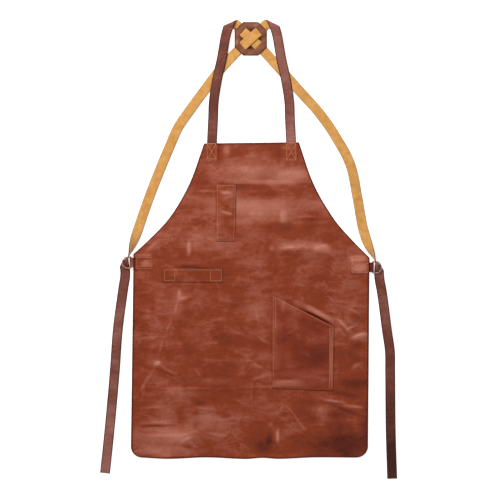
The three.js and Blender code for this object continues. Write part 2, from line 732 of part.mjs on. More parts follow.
// A strap from one corner of the bib. It is worked out with its start on the left, and mirrored
// for the other one. far is the side of its ring, level how high it crosses the patch.
function crossStrap(start, far, crossLevel) {
  const mirror = start === "left" ? 1 : -1;
  const ringSide = far === "left" ? -1 : 1;
  const bib = new THREE.Vector2(strapInset - bibWidth / 2, panelHeight);
  const sewnEnd = new THREE.Vector2(bib.x, panelHeight - strapLap);
  const fold = new THREE.Vector2(-foldOffset, foldHeight);
  const patch = new THREE.Vector2(mirror * patchCentre.x, patchCentre.y);
  const bow = bowCentre(ringSide);
  const holeMiddle = middle(bowRadius, tabLoopRadius - barToBow);
  const ring = new THREE.Vector2(ringSide * bow.x + holeMiddle, bow.y);
  const slant = radians(tieSlant[far]);
  const tieRun = new THREE.Vector2(Math.sin(slant), -Math.cos(slant));
  const tieEnd = ring.clone().addScaledVector(tieRun, tieLength[far]);
  const crossing = new THREE.Vector2(Math.cos(radians(crossAngle)), -Math.sin(radians(crossAngle)));

  // Up the front, over the other strap, to the fold.
  const flatHalf = strapWidth / 2 / Math.tan(radians(crossAngle));
  const upFront = routePlaces(bib, fold, frontRoute, 1);
  const arrive = fold.clone().sub(upFront.at(-1)).normalize();
  const foldStart = fold.clone().addScaledVector(arrive, -flatHalf);
  const frontPlaces = [sewnEnd, bib, ...upFront.slice(0, -1), foldStart];
  const frontLength = bib.distanceTo(fold);
  const frontLevels = [
    { along: 0.28, level: floorLevel },
    { along: 0.37, level: overLevel },
    { along: 0.72, level: overLevel },
    { along: 0.94, level: foldTopLevel },
  ];
  const frontRun = routeThrough(frontPlaces);
  const front = [0, ...stationStops([], frontRun.length)].map((travelled) => {
    const station = frontRun.stationAt(travelled);
    const along = (station.place.y - bib.y) / frontLength;
    const raised = tableLevel(frontLevels, "along", "level", along) - floorLevel;
    return laidRow(station, strapSection({ outer: 0, inner: 0, raised, shift: 0 }));
  });

  // The fold: the strap rolls under itself about a line across it.
  const slitEntry = patch.clone().addScaledVector(crossing, -(slitDistance + 3 * slitOpening));
  const leave = slitEntry.clone().sub(fold).normalize();
  const foldLine = arrive.clone().add(leave).normalize();
  const over = arrive.clone().sub(leave).normalize();
  const rollOver = (spot) => {
    const away = spot.clone().sub(fold);
    const beyond = away.dot(over);
    const onLine = fold.clone().addScaledVector(foldLine, away.dot(foldLine));
    if (beyond <= 0) return new THREE.Vector3(spot.x, spot.y, foldTopLevel);
    const turned = Math.min(beyond / foldRadius, Math.PI);
    const past = Math.max(beyond - Math.PI * foldRadius, 0);
    const out = foldRadius * Math.sin(turned) - past;
    const drop = foldRadius * (1 - Math.cos(turned));
    const flat = onLine.addScaledVector(over, out);
    return new THREE.Vector3(flat.x, flat.y, foldTopLevel - drop);
  };
  const across = new THREE.Vector2(arrive.y, -arrive.x);
  const rollLength = (Math.PI * foldRadius) / arrive.dot(over);
  const foldSteps = Math.ceil((2 * flatHalf + rollLength) / foldStep);
  const foldRows = Array.from({ length: foldSteps }, (_, n) => {
    const travelled = ((2 * flatHalf + rollLength) * (n + 1)) / foldSteps - flatHalf;
    const centre = fold.clone().addScaledVector(arrive, travelled);
    return Array.from({ length: strapColumns + 1 }, (_, j) => {
      const offset = strapWidth * (j / strapColumns - 0.5);
      return rollOver(centre.clone().addScaledVector(across, offset));
    });
  });

  // Down behind the back: through the patch, over the ring's upper bow, through the ring.
  const foldEnd = rollOver(fold.clone().addScaledVector(arrive, flatHalf + rollLength));
  const downBack = routePlaces(patch, ring, backRoute[far], 1);
  const patchReach = slitDistance + 2 * slitOpening;
  const besidePatch = (distance) => patch.clone().addScaledVector(crossing, distance);
  const backPlaces = [
    new THREE.Vector2(foldEnd.x, foldEnd.y),
    besidePatch(-patchReach),
    besidePatch(-slitDistance),
    patch,
    besidePatch(slitDistance),
    besidePatch(patchReach),
    ...downBack,
    ring,
    ...routePlaces(ring, tieEnd, tieRoute[far], 1),
    tieEnd,
  ];
  const patchLevels = [
    { away: (strapWidth / 2) * crossSpread, level: crossLevel },
    { away: slitInner - clearance, level: lipLevel },
    { away: slitOuter + clearance, level: floorLevel },
  ];
  const rising = [...turnOver].reverse();
  const backRun = routeThrough(backPlaces);
  const patchAt = backRun.travelTo(patch);
  const ringAt = backRun.travelTo(ring);
  const stops = [
    ...patchLevels.flatMap((row) => [patchAt - row.away, patchAt + row.away]),
    ...turnOver.map((row) => ringAt - row.before * ringHeight),
  ];
  const back = stationStops(stops, backRun.length).map((travelled) => {
    const before = (ringAt - travelled) / ringHeight;
    const turned = (column) => tableLevel(rising, "before", column, before);
    const level = tableLevel(patchLevels, "away", "level", Math.abs(travelled - patchAt));
    const section = strapSection({
      outer: turned("outer"),
      inner: turned("inner"),
      raised: turned("lift") * overBowLift + level - floorLevel,
      shift: turned("shift"),
    });
    return laidRow(backRun.stationAt(travelled), section);
  });

  const grid = [...front, ...foldRows, ...back];
  for (const point of grid.flat()) point.x *= mirror;
  return strip(grid, strapThickness);
}

function named(name, geometry, material) {
  const mesh = new THREE.Mesh(geometry, material);
  mesh.name = name;
  return mesh;
}

const leather = (color, roughness) => new THREE.MeshStandardMaterial({ color, roughness, metalness: 0 });
const panelLeather = leather(0x8e4630, 0.42);
const pocketLeather = leather(0x7d3620, 0.42);
const strapLeather = leather(0x6e3a2c, 0.5);
const patchLeather = leather(0x7a4434, 0.5);
const ringMetal = new THREE.MeshStandardMaterial({ color: 0xd8c3b6, roughness: 0.25, metalness: 1 });

const apron = new THREE.Group();
apron.add(named("apron_panel", apronPanel(), panelLeather));
apron.add(named("pen_pocket", penPocketFront(), panelLeather));
apron.add(named("towel_loop", towelBand(), panelLeather));
apron.add(named("slant_pocket", slantPocketFront(), pocketLeather));
apron.add(named("cross_patch", crossPatch(), patchLeather));
apron.add(named("strap_from_left", crossStrap("left", "right", lipLevel), strapLeather));
const upperCrossing = lipLevel + strapThickness + clearance;
apron.add(named("strap_from_right", crossStrap("right", "left", upperCrossing), strapLeather));
for (const [name, side] of [["left", -1], ["right", 1]]) {
  const centre = bowCentre(side);
  const fastening = new THREE.Group();
  fastening.position.set(centre.x, centre.y, barLevel);
  if (side < 0) fastening.rotation.z = Math.PI;
  const ring = named(`d_ring_${name}`, dRing(), ringMetal);
  ring.rotation.x = -side * radians(ringTilt);
  const tab = named(`ring_tab_${name}`, ringTab(side), strapLeather);
  tab.position.x = -barToBow;
  fastening.add(ring, tab);
  apron.add(fastening);
}

const box = new THREE.Box3().setFromObject(apron, true);
apron.position.set(-middle(box.min.x, box.max.x), -middle(box.min.y, box.max.y), -box.min.z);

export default apron;
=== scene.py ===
# A leather cross-back work apron lying front face up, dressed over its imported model.
# Sizes are millimetres in the apron's own plan: X from the middle of the panel, Y from the hem
# up, Z from the surface. put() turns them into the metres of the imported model's frame.

import math

import bmesh
import bpy
import numpy as np
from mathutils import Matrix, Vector


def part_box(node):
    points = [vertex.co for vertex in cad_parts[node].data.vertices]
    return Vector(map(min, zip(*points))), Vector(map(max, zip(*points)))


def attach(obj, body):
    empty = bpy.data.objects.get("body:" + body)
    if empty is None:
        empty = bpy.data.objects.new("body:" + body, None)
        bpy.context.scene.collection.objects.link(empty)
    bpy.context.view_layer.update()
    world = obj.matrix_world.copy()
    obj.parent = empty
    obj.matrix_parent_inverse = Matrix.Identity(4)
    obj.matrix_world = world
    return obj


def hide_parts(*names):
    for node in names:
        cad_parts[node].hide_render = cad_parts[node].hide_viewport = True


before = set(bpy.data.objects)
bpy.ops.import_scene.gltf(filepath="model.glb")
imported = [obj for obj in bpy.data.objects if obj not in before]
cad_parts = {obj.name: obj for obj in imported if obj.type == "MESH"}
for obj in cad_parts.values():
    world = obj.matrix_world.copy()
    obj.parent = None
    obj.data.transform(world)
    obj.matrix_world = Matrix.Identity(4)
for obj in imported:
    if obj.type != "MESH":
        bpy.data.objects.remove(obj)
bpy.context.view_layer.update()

# Sizes, as in the part's source.

CLEARANCE = 0.3
PANEL_WIDTH, PANEL_HEIGHT, PANEL_THICKNESS = 597, 800, 1.8
BIB_WIDTH, BIB_TOP_RISE, ARMHOLE_DEPTH = 240, 3, 286
HEM_CORNER, HEM_WAVE, EDGE_FADE = 30, 4, 80
SKIRT_LEAN = {-1: -7, 1: -4}
CORNER_TILT, CORNER_FADE = -9, 110

STRAP_WIDTH, STRAP_THICKNESS, STRAP_INSET, STRAP_LAP = 25, 2.2, 20, 45
FOLD_OFFSET, FOLD_HEIGHT, FOLD_RADIUS = 56, 1099, 2.6
TIE_LENGTH = {"left": 535, "right": 536}
TIE_SLANT = {"left": 5.7, "right": 4}

PATCH_WIDTH, PATCH_HEIGHT, PATCH_THICKNESS = 82, 85, 1.8
PATCH_X, PATCH_Y, PATCH_CUT = -2, 1063, 22
CROSS_ANGLE, SLIT_DISTANCE, SLIT_OPENING, SLIT_FADE = 42, 26, 4.6, 9
SLIT_LENGTH = STRAP_WIDTH + 0.1

RING_HEIGHT, RING_DEPTH, WIRE, RING_TILT, RING_CORNER = 32, 25.5, 3.5, 8, 2
RING_LEVEL = {"left": 497, "right": 485}
BAR_REACH = {-1: 6, 1: 7.5}
TAB_THICKNESS, TAB_LAP = 1.4, 42

POCKET_THICKNESS = 1.5
EDGE_ROUNDING = 0.5
PEN = dict(left=-90.1, bottom=551.2, width=52, height=144, taper=4, gape=6)
SLANT = dict(left=52.2, bottom=172.8, width=157, left_height=236, right_height=162, drop=6,
             gape=6.5)
LOOP = dict(left=-226.3, bottom=448, width=153, height=34, lap=27, gape=7)

ARMHOLE = [(0, 0), (0.14, 0.075), (0.29, 0.158), (0.43, 0.26), (0.57, 0.388), (0.71, 0.545),
           (0.86, 0.768), (1, 1)]
HEM = [(0, 0.9), (0.12, 0.1), (0.3, 1), (0.48, 0), (0.56, 0.7), (0.64, 0.1), (0.8, 1), (1, 0.9)]

FRONT_ROUTE = [(0.2, 0.02), (0.34, 0.035), (0.52, 0.034), (0.72, 0.021), (0.9, 0.016)]
BACK_ROUTE = {
    "left": [(0.16, 0.045), (0.28, 0.062), (0.36, 0.072), (0.44, 0.079), (0.5, 0.074),
             (0.64, 0.058), (0.77, 0.039), (0.9, 0.015), (0.96, 0.005)],
    "right": [(0.16, 0.043), (0.28, 0.07), (0.36, 0.089), (0.44, 0.1), (0.5, 0.103),
              (0.56, 0.104), (0.62, 0.097), (0.73, 0.062), (0.85, 0.022), (0.92, 0.009),
              (0.96, 0.007)],
}
TIE_ROUTE = {
    "left": [(0.05, -0.003), (0.13, 0.001), (0.32, 0.007), (0.51, 0.002), (0.8, -0.001)],
    "right": [(0.04, 0.003), (0.11, 0.012), (0.3, 0.024), (0.4, 0.031), (0.49, 0.026),
              (0.77, 0.009)],
}
# How a strap turns over at its ring. Each row: place before the ring in ring heights, slopes of
# the strap's outer and inner side in degrees, share of the full lift, shift in strap widths.
TURN_OVER = [
    (3.4, 180, 180, 0, 0), (2.6, 166, 166, 0.1, 0), (1.9, 145, 145, 0.4, 0),
    (1.3, 121, 121, 0.8, 0), (0.8, 98, 100, 1, -0.02), (0.52, 86, 92, 1, -0.04),
    (0.36, 76, 86, 1, -0.02), (0.2, 58, 78, 0.4, 0), (0.04, 32, 70, 0, 0.03),
    (-0.12, 10, 62, 0, 0.07), (-0.26, 0, 38, 0, 0.1), (-0.38, 0, 14, 0, 0.1),
    (-0.5, 0, 11, 0, 0.08), (-0.7, 0, 8, 0, 0.05), (-1.2, 0, 0, 0, 0),
]

FLOOR_LEVEL = STRAP_THICKNESS / 2
OVER_LEVEL = FLOOR_LEVEL + STRAP_THICKNESS + CLEARANCE
FOLD_TOP_LEVEL = FLOOR_LEVEL + 2 * FOLD_RADIUS
LIP_LEVEL = PATCH_THICKNESS + 2 * CLEARANCE + STRAP_THICKNESS / 2
PATCH_RISE = STRAP_THICKNESS + 2 * CLEARANCE
SLIT_INNER = SLIT_DISTANCE - SLIT_OPENING / 2
SLIT_OUTER = SLIT_DISTANCE + SLIT_OPENING / 2
BOW_RADIUS = (RING_HEIGHT - WIRE) / 2
BAR_TO_BOW = RING_DEPTH - WIRE - BOW_RADIUS
TAB_WIDTH = 2 * (BOW_RADIUS - RING_CORNER) - CLEARANCE
TAB_BEND = WIRE / 2 + CLEARANCE + TAB_THICKNESS / 2
TAB_LOOP = TAB_BEND + TAB_THICKNESS / 2
TILT_SINE = math.sin(math.radians(RING_TILT))
BAR_LEVEL = TAB_LOOP + TAB_WIDTH / 2 * TILT_SINE + CLEARANCE / 2
OVER_BOW_LIFT = BAR_LEVEL - BOW_RADIUS * TILT_SINE + WIRE / 2 + CLEARANCE
SIDE_CORNER = PANEL_HEIGHT - ARMHOLE_DEPTH
SIDES = ((-1, "left"), (1, "right"))
SLIT_TURNS = (CROSS_ANGLE, 180 - CROSS_ANGLE, 180 + CROSS_ANGLE, -CROSS_ANGLE)
# Cells across the noise's lattice, and where its middle is.
LATTICE, LATTICE_MIDDLE = 256, 64
# Kinds of faces, by their material's place in a leather piece's list.
UPPER_FACE, LOWER_FACE, CUT_FACE = 0, 1, 2

low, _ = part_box("cross_patch")
PLAN_ORIGIN = np.array([low.x - (PATCH_X - PATCH_WIDTH / 2) / 1000,
                        low.y - (PATCH_Y - PATCH_HEIGHT / 2) / 1000, 0.0])


def put(points):
    """Plan millimetres to frame metres."""
    return np.asarray(points, float) / 1000 + PLAN_ORIGIN


# Small mathematics.

def smooth(t):
    t = np.clip(t, 0, 1)
    return t * t * (3 - 2 * t)


def bell(t):
    return np.where(np.abs(t) < 1, np.cos(np.pi * np.clip(t, -1, 1) / 2) ** 2, 0)


def plateau(distance, half, fade):
    return 1 - smooth((np.abs(distance) - half) / fade)


def along_curve(rows, at):
    """A smooth curve through the rows (key, value), with the same slopes as the source's."""
    keys = np.array([r[0] for r in rows], float)
    values = np.array([r[1] for r in rows], float)
    ahead = np.clip(np.arange(len(keys)) + 1, 0, len(keys) - 1)
    behind = np.clip(np.arange(len(keys)) - 1, 0, len(keys) - 1)
    slopes = (values[ahead] - values[behind]) / (keys[ahead] - keys[behind])
    at = np.clip(np.asarray(at, float), keys[0], keys[-1])
    i = np.clip(np.searchsorted(keys, at, side="right") - 1, 0, len(keys) - 2)
    span = keys[i + 1] - keys[i]
    t = (at - keys[i]) / span
    rise = t * t * (3 - 2 * t)
    return (values[i] + rise * (values[i + 1] - values[i])
            + t * (1 - t) ** 2 * span * slopes[i] + t * t * (t - 1) * span * slopes[i + 1])


def along_across(x, y, degrees):
    """Distances along and across a direction that is turned by some degrees."""
    a = math.radians(degrees)
    return x * math.cos(a) + y * math.sin(a), y * math.cos(a) - x * math.sin(a)


def noise(x, y, long, short, turn, seed):
    """Smooth noise from -1 to 1 with patches long by short, turned by some degrees."""
    u, v = along_across(x, y, turn)
    u, v = u / long + LATTICE_MIDDLE, v / short + LATTICE_MIDDLE
    lattice = np.random.RandomState(seed).uniform(-1, 1, (LATTICE, LATTICE))
    i, j = np.floor(u).astype(int), np.floor(v).astype(int)
    fu, fv = smooth(u - i), smooth(v - j)

    def row(dj):
        first, second = (lattice[(i + di) % LATTICE, (j + dj) % LATTICE] for di in (0, 1))
        return first * (1 - fu) + second * fu

    return row(0) * (1 - fv) + row(1) * fv


def lumps(rows, x, y):
    """Sum of rounded patches: rows of middle x, y, half length, half width, turn, height."""
    total = np.zeros(np.broadcast(x, y).shape)
    for mx, my, long, wide, turn, height in rows:
        along, across = along_across(x - mx, y - my, turn)
        total += height * bell(along / long) * bell(across / wide)
    return total


def route_places(start, end, rows):
    """Places beside the line from start to end; aside is to the left of a line that runs down."""
    start, end = np.array(start, float), np.array(end, float)
    line = end - start
    outwards = np.array([-line[1], line[0]])
    return [start + along * line + aside * outwards for along, aside in rows]


def centripetal(places, fineness=60):
    """Fine points on a smooth curve through places, and which of them each place is."""
    p = [np.array(q, float) for q in places]
    p = [2 * p[0] - p[1]] + p + [2 * p[-1] - p[-2]]
    fine = []
    for n in range(1, len(p) - 2):
        x0, x1, x2, x3 = p[n - 1:n + 3]
        d0, d1, d2 = (math.sqrt(np.linalg.norm(b - a)) for a, b in ((x0, x1), (x1, x2), (x2, x3)))
        t1 = ((x1 - x0) / d0 - (x2 - x0) / (d0 + d1) + (x2 - x1) / d1) * d1
        t2 = ((x2 - x1) / d1 - (x3 - x1) / (d1 + d2) + (x3 - x2) / d2) * d1
        t = np.linspace(0, 1, fineness, endpoint=False)[:, None]
        fine.append(x1 + t1 * t + (3 * (x2 - x1) - 2 * t1 - t2) * t ** 2
                    + (2 * (x1 - x2) + t1 + t2) * t ** 3)
    fine.append(p[-2][None])
    return np.concatenate(fine), [fineness * n for n in range(len(places))]


class Route:
    """A smooth route: place() gives points after some millimetres, inwards() the way inwards."""

    def __init__(self, places):
        self.points, index = centripetal(places)
        steps = np.linalg.norm(np.diff(self.points, axis=0), axis=1)
        self.travelled = np.concatenate([[0], np.cumsum(steps)])
        self.length = self.travelled[-1]
        self.stops = [self.travelled[i] for i in index]

    def place(self, s):
        return np.stack([np.interp(s, self.travelled, self.points[:, k]) for k in (0, 1)], -1)

    def inwards(self, s):
        ahead = self.place(np.minimum(s + 1, self.length)) - self.place(np.maximum(s - 1, 0))
        ahead /= np.linalg.norm(ahead, axis=-1, keepdims=True)
        return np.stack([ahead[..., 1], -ahead[..., 0]], -1)


# Mesh building.

def placed(name, data):
    """A new object of the scene."""
    obj = bpy.data.objects.new(name, data)
    bpy.context.scene.collection.objects.link(obj)
    return obj


def add_tone(mesh, tone):
    """How much lighter or darker the leather is at each vertex."""
    layer = mesh.attributes.new("tone", "FLOAT", "POINT")
    layer.data.foreach_set("value", np.asarray(tone, np.float32))


def make_object(name, vertices, faces, materials, kinds=None, tone=None):
    """A mesh piece from frame metres. kinds gives each face its material's number."""
    mesh = bpy.data.meshes.new(name)
    mesh.from_pydata([tuple(v) for v in vertices], [], faces)
    for material in materials:
        mesh.materials.append(material)
    kinds = np.zeros(len(faces), np.int32) if kinds is None else np.asarray(kinds, np.int32)
    mesh.polygons.foreach_set("material_index", kinds)
    mesh.polygons.foreach_set("use_smooth", kinds != CUT_FACE)
    if tone is not None:
        add_tone(mesh, tone)
    mesh.update()
    return placed(name, mesh)


def grid_faces(rows, columns, first, flipped):
    i, j = np.meshgrid(np.arange(rows - 1), np.arange(columns - 1), indexing="ij")
    a = first + i * columns + j
    quads = np.stack([a, a + 1, a + columns + 1, a + columns], -1).reshape(-1, 4)
    return quads[:, ::-1] if flipped else quads


def rim_of(rows, columns, first):
    """Vertex numbers round a grid's edge."""
    i, j = np.arange(rows), np.arange(columns)
    return np.concatenate([
        first + j[:-1],
        first + i[:-1] * columns + columns - 1,
        first + (rows - 1) * columns + j[:0:-1],
        first + i[:0:-1] * columns,
    ])


def leather_sheet(name, upper, lower, materials, tone):
    """A closed leather piece between an upper grid and a lower one that may be coarser.
    Materials: upper side, lower side, cut edge."""
    ur, uc = upper.shape[:2]
    lr, lc = lower.shape[:2]
    step = (ur - 1) // (lr - 1)
    points = np.concatenate([upper.reshape(-1, 3), lower.reshape(-1, 3)])
    turn = np.cross(upper[1, 0] - upper[0, 0], upper[0, 1] - upper[0, 0])
    over = upper[0, 0] - lower[0, 0]
    down = bool(np.dot(turn, over) > 0)
    top = grid_faces(ur, uc, 0, down)
    bottom = grid_faces(lr, lc, ur * uc, not down)
    high = rim_of(ur, uc, 0)
    below = rim_of(lr, lc, ur * uc)
    rim = []
    for n in range(len(below)):
        ups = [int(high[(n * step + k) % len(high)]) for k in range(step + 1)]
        face = [int(below[n]), int(below[(n + 1) % len(below)])] + ups[::-1]
        rim.append(face if not down else face[::-1])
    faces = top.tolist() + bottom.tolist() + rim
    kinds = [UPPER_FACE] * len(top) + [LOWER_FACE] * len(bottom) + [CUT_FACE] * len(rim)
    shade = np.concatenate([tone.reshape(-1), tone[::step, ::step].reshape(-1)])
    return make_object(name, put(points), faces, materials, kinds, tone=shade)


def strap_piece(name, middle, thickness, materials, grain_up, tone):
    """A strip round a middle grid, thickness square to it. Materials: grain, flesh, cut edge."""
    along = np.gradient(middle, axis=0)
    across = np.gradient(middle, axis=1)
    normal = np.cross(along, across)
    normal /= np.linalg.norm(normal, axis=-1, keepdims=True)
    sign = 1 if grain_up else -1
    grain = middle + sign * normal * thickness / 2
    flesh = middle - sign * normal * thickness / 2
    return leather_sheet(name, grain, flesh, materials, tone)


def dress(obj, node):
    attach(obj, "root")
    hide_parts(node)


# Materials.

class Nodes:
    """A material's node tree, with short names for what the leathers need."""

    def __init__(self, name):
        self.material = bpy.data.materials.new(name)
        self.material.use_nodes = True
        self.tree = self.material.node_tree
        self.tree.nodes.clear()
        self.output = self.tree.nodes.new("ShaderNodeOutputMaterial")
        self.shader = self.tree.nodes.new("ShaderNodeBsdfPrincipled")
        self.join(self.shader.outputs[0], self.output.inputs["Surface"])
        self.coordinates = self.tree.nodes.new("ShaderNodeTexCoord").outputs["Object"]

    def join(self, out, into):
        self.tree.links.new(out, into)

    def feed(self, socket, value):
        if isinstance(value, bpy.types.NodeSocket):
            self.join(value, socket)
        else:
            socket.default_value = value

    def node(self, kind, inputs):
        """A new node, its inputs fed with sockets, numbers or tuples."""
        node = self.tree.nodes.new(kind)
        for key, value in inputs.items():
            self.feed(node.inputs[key], value)
        return node

    def stretched(self, turn, scale):
        rotation = (0, 0, math.radians(turn))
        return self.node("ShaderNodeMapping", {
            "Vector": self.coordinates, "Rotation": rotation, "Scale": scale}).outputs[0]

    def noise(self, scale, detail=4, roughness=0.5, distortion=0.0, where=None, output="Fac"):
        return self.node("ShaderNodeTexNoise", {
            "Vector": where or self.coordinates, "Scale": scale, "Detail": detail,
            "Roughness": roughness, "Distortion": distortion}).outputs[output]

    def cells(self, scale, feature="F1", where=None):
        node = self.node("ShaderNodeTexVoronoi", {
            "Vector": where or self.coordinates, "Scale": scale})
        node.feature = feature
        return node.outputs["Distance"]

    def warped(self, where, scale, amount):
        """Coordinates pushed about by a noise, so that cells don't look like cells."""
        push = self.noise(scale, 2, where=where, output="Color")
        node = self.node("ShaderNodeVectorMath", {0: push, 1: (amount,) * 3, 2: where})
        node.operation = "MULTIPLY_ADD"
        return node.outputs[0]

    def math(self, operation, a, b):
        node = self.node("ShaderNodeMath", {0: a, 1: b})
        node.operation = operation
        return node.outputs[0]

    def remap(self, value, low, high, out_low=0.0, out_high=1.0):
        return self.node("ShaderNodeMapRange", {
            "Value": value, "From Min": low, "From Max": high, "To Min": out_low,
            "To Max": out_high}).outputs[0]

    def ramp(self, value, stops):
        node = self.node("ShaderNodeValToRGB", {0: value})
        elements = node.color_ramp.elements
        while len(elements) < len(stops):
            elements.new(0.5)
        for element, (position, colour) in zip(elements, stops):
            element.position = position
            element.color = (*colour, 1)
        return node.outputs["Color"]

    def multiplied(self, a, b):
        """Two colours, one times the other."""
        node = self.node("ShaderNodeMix", {0: 1.0, 6: a, 7: b})
        node.data_type = "RGBA"
        node.blend_type = "MULTIPLY"
        return node.outputs[2]

    def tone(self):
        node = self.tree.nodes.new("ShaderNodeAttribute")
        node.attribute_name = "tone"
        return node.outputs["Fac"]

    def bump(self, height, distance, strength, normal=None):
        inputs = {"Strength": strength, "Distance": distance, "Height": height}
        if normal is not None:
            inputs["Normal"] = normal
        return self.node("ShaderNodeBump", inputs).outputs[0]

    def surface(self, colour, roughness, normal):
        """Feeds the shader and gives the material."""
        self.feed(self.shader.inputs["Base Color"], colour)
        self.feed(self.shader.inputs["Roughness"], roughness)
        self.join(normal, self.shader.inputs["Normal"])
        return self.material


def linear(red, green, blue):
    """The shader's colour for a colour given from 0 to 255."""
    return tuple((c / 255 / 12.92) if c <= 10.31 else ((c / 255 + 0.055) / 1.055) ** 2.4
                 for c in (red, green, blue))


def grain_leather(name, dark, mid, light, gloss=0.45):
    """Waxed pull-up leather: cloudy colour that lightens where it was bent, fine grain, soft gloss."""
    n = Nodes(name)
    parts = [
        (n.noise(6, 2, 0.5, 0.6), 0.24), (n.noise(19, 4, 0.55, 0.8), 0.28),
        (n.noise(90, 5, 0.6, 0.3), 0.14),
        (n.noise(9, 4, 0.5, 0.8, n.stretched(6, (1, 3.2, 1))), 0.26),
        (n.noise(17, 4, 0.55, 1.0, n.stretched(-38, (1, 3, 1))), 0.20),
    ]
    depth = n.math("MULTIPLY", n.tone(), 0.30)
    for share, amount in parts:
        centred = n.math("SUBTRACT", share, 0.5)
        depth = n.math("ADD", depth, n.math("MULTIPLY", centred, amount))
    depth = n.math("ADD", depth, 0.5)
    # The wax cracks into lighter lines between patches.
    bent = n.stretched(10, (1, 1.8, 1))
    lines = n.remap(n.cells(34, "DISTANCE_TO_EDGE", n.warped(bent, 9, 0.05)), 0.0, 0.07, 1.0, 0.0)
    wear_and_shade = n.remap(n.noise(12, 5, 0.6, 0.5), 0.48, 0.62)
    lines = n.math("MULTIPLY", lines, wear_and_shade)
    depth = n.math("ADD", depth, n.math("MULTIPLY", lines, 0.07))
    colour = n.ramp(depth, [(0.24, dark), (0.5, mid), (0.78, light)])
    # Darker pores between the grain's cells.
    pores = n.remap(n.cells(900), 0.0, 0.55, 0.86, 1.04)
    colour = n.multiplied(colour, n.ramp(pores, [(0.0, (0, 0, 0)), (1.0, (1, 1, 1))]))
    roughness = n.remap(depth, 0.2, 0.8, gloss + 0.06, gloss - 0.05)
    n.shader.inputs["Specular IOR Level"].default_value = 0.42
    n.shader.inputs["Specular Tint"].default_value = (1.0, 0.74, 0.64, 1)
    creases = n.bump(n.noise(75, 8, 0.62, 0.6), 0.0018, 0.6)
    creases = n.bump(lines, 0.0004, 0.5, creases)
    fine = n.bump(n.cells(620, "SMOOTH_F1"), 0.00022, 0.5, creases)
    return n.surface(colour, roughness, n.bump(n.noise(1500, 4, 0.6), 0.0001, 0.4, fine))


def suede_leather(name, dark, light):
    """Flesh side: a tan nap that lies different ways, with short fibres."""
    n = Nodes(name)
    nap = n.noise(45, 6, 0.65, 1.0)
    fibres = n.noise(520, 6, 0.75, 0.6, n.stretched(20, (1, 2.6, 1)))
    depth = n.math("ADD", n.math("MULTIPLY", nap, 0.55), n.math("MULTIPLY", fibres, 0.45))
    colour = n.ramp(depth, [(0.38, dark), (0.62, light)])
    # The nap gets painted shade along a strap's edges.
    edge_shade = n.remap(n.tone(), -2.2, -0.6, 0.0, 1.0)
    shade = n.ramp(edge_shade, [(0.0, (0.52, 0.5, 0.46)), (1.0, (1, 1, 1))])
    n.shader.inputs["Specular IOR Level"].default_value = 0.2
    n.shader.inputs["Sheen Weight"].default_value = 0.35
    n.shader.inputs["Sheen Roughness"].default_value = 0.5
    soft = n.bump(nap, 0.0009, 0.4)
    return n.surface(n.multiplied(colour, shade), 0.92, n.bump(fibres, 0.0003, 0.7, soft))


def cut_edge(name, dark, light):
    n = Nodes(name)
    layers = n.noise(900, 5, 0.7, 0.4)
    colour = n.ramp(layers, [(0.35, dark), (0.65, light)])
    return n.surface(colour, 0.75, n.bump(layers, 0.0003, 0.6))


def waxed_thread(name, dark, light):
    n = Nodes(name)
    twist = n.noise(1400, 3, 0.6, 0.5)
    colour = n.ramp(twist, [(0.3, dark), (0.7, light)])
    return n.surface(colour, 0.5, n.bump(twist, 0.0002, 0.6))


def plated_wire(name, colour, stain):
    n = Nodes(name)
    tarnish = n.noise(160, 6, 0.65, 0.4)
    n.shader.inputs["Metallic"].default_value = 1.0
    return n.surface(n.ramp(tarnish, [(0.4, stain), (0.62, colour)]),
                     n.remap(tarnish, 0.3, 0.7, 0.46, 0.34),
                     n.bump(n.noise(700, 5, 0.7), 0.0001, 0.5))


PANEL_GRAIN = grain_leather("panel_grain", linear(90, 22, 4), linear(143, 55, 23),
                            linear(192, 116, 96))
POCKET_GRAIN = grain_leather("pocket_grain", linear(86, 18, 4), linear(138, 49, 22),
                             linear(176, 96, 76))
STRAP_GRAIN = grain_leather("strap_grain", linear(64, 22, 14), linear(116, 58, 46),
                            linear(166, 108, 98), gloss=0.50)
PATCH_GRAIN = grain_leather("patch_grain", linear(84, 32, 10), linear(134, 78, 56),
                            linear(172, 114, 92), gloss=0.50)
SUEDE = suede_leather("suede", linear(204, 138, 66), linear(234, 178, 102))
DARK_EDGE = cut_edge("dark_edge", linear(50, 24, 16), linear(92, 48, 32))
THREAD = waxed_thread("thread", linear(204, 128, 84), linear(232, 164, 120))
# A darker thread, as painted shade on seams that lie in shadow.
SHADED_THREAD = waxed_thread("shaded_thread", linear(138, 72, 44), linear(170, 98, 68))
WIRE_METAL = plated_wire("wire_metal", linear(220, 180, 164), linear(176, 136, 122))

# The panel's shape.

# Folds as in the source: middle x, y, half length, half width, turn, height.
FOLDS = [
    (12, 721.6, 144, 24, 0, 4.2), (-132, 536, 42, 21, 80, 3), (132, 528, 120, 24, -4, 4.8),
    (258, 360, 78, 30, 68, 5.4), (-180, 368, 66, 27, 62, 4.2), (-204, 224, 54, 24, -24, 4.8),
    (-84, 184, 120, 24, 0, 3.6), (198, 120, 90, 27, 6, 6), (114, 104, 60, 21, -40, 4.8),
    (66, 48, 42, 21, 88, 4.2), (-150, 56, 72, 24, 12, 3.6),
]
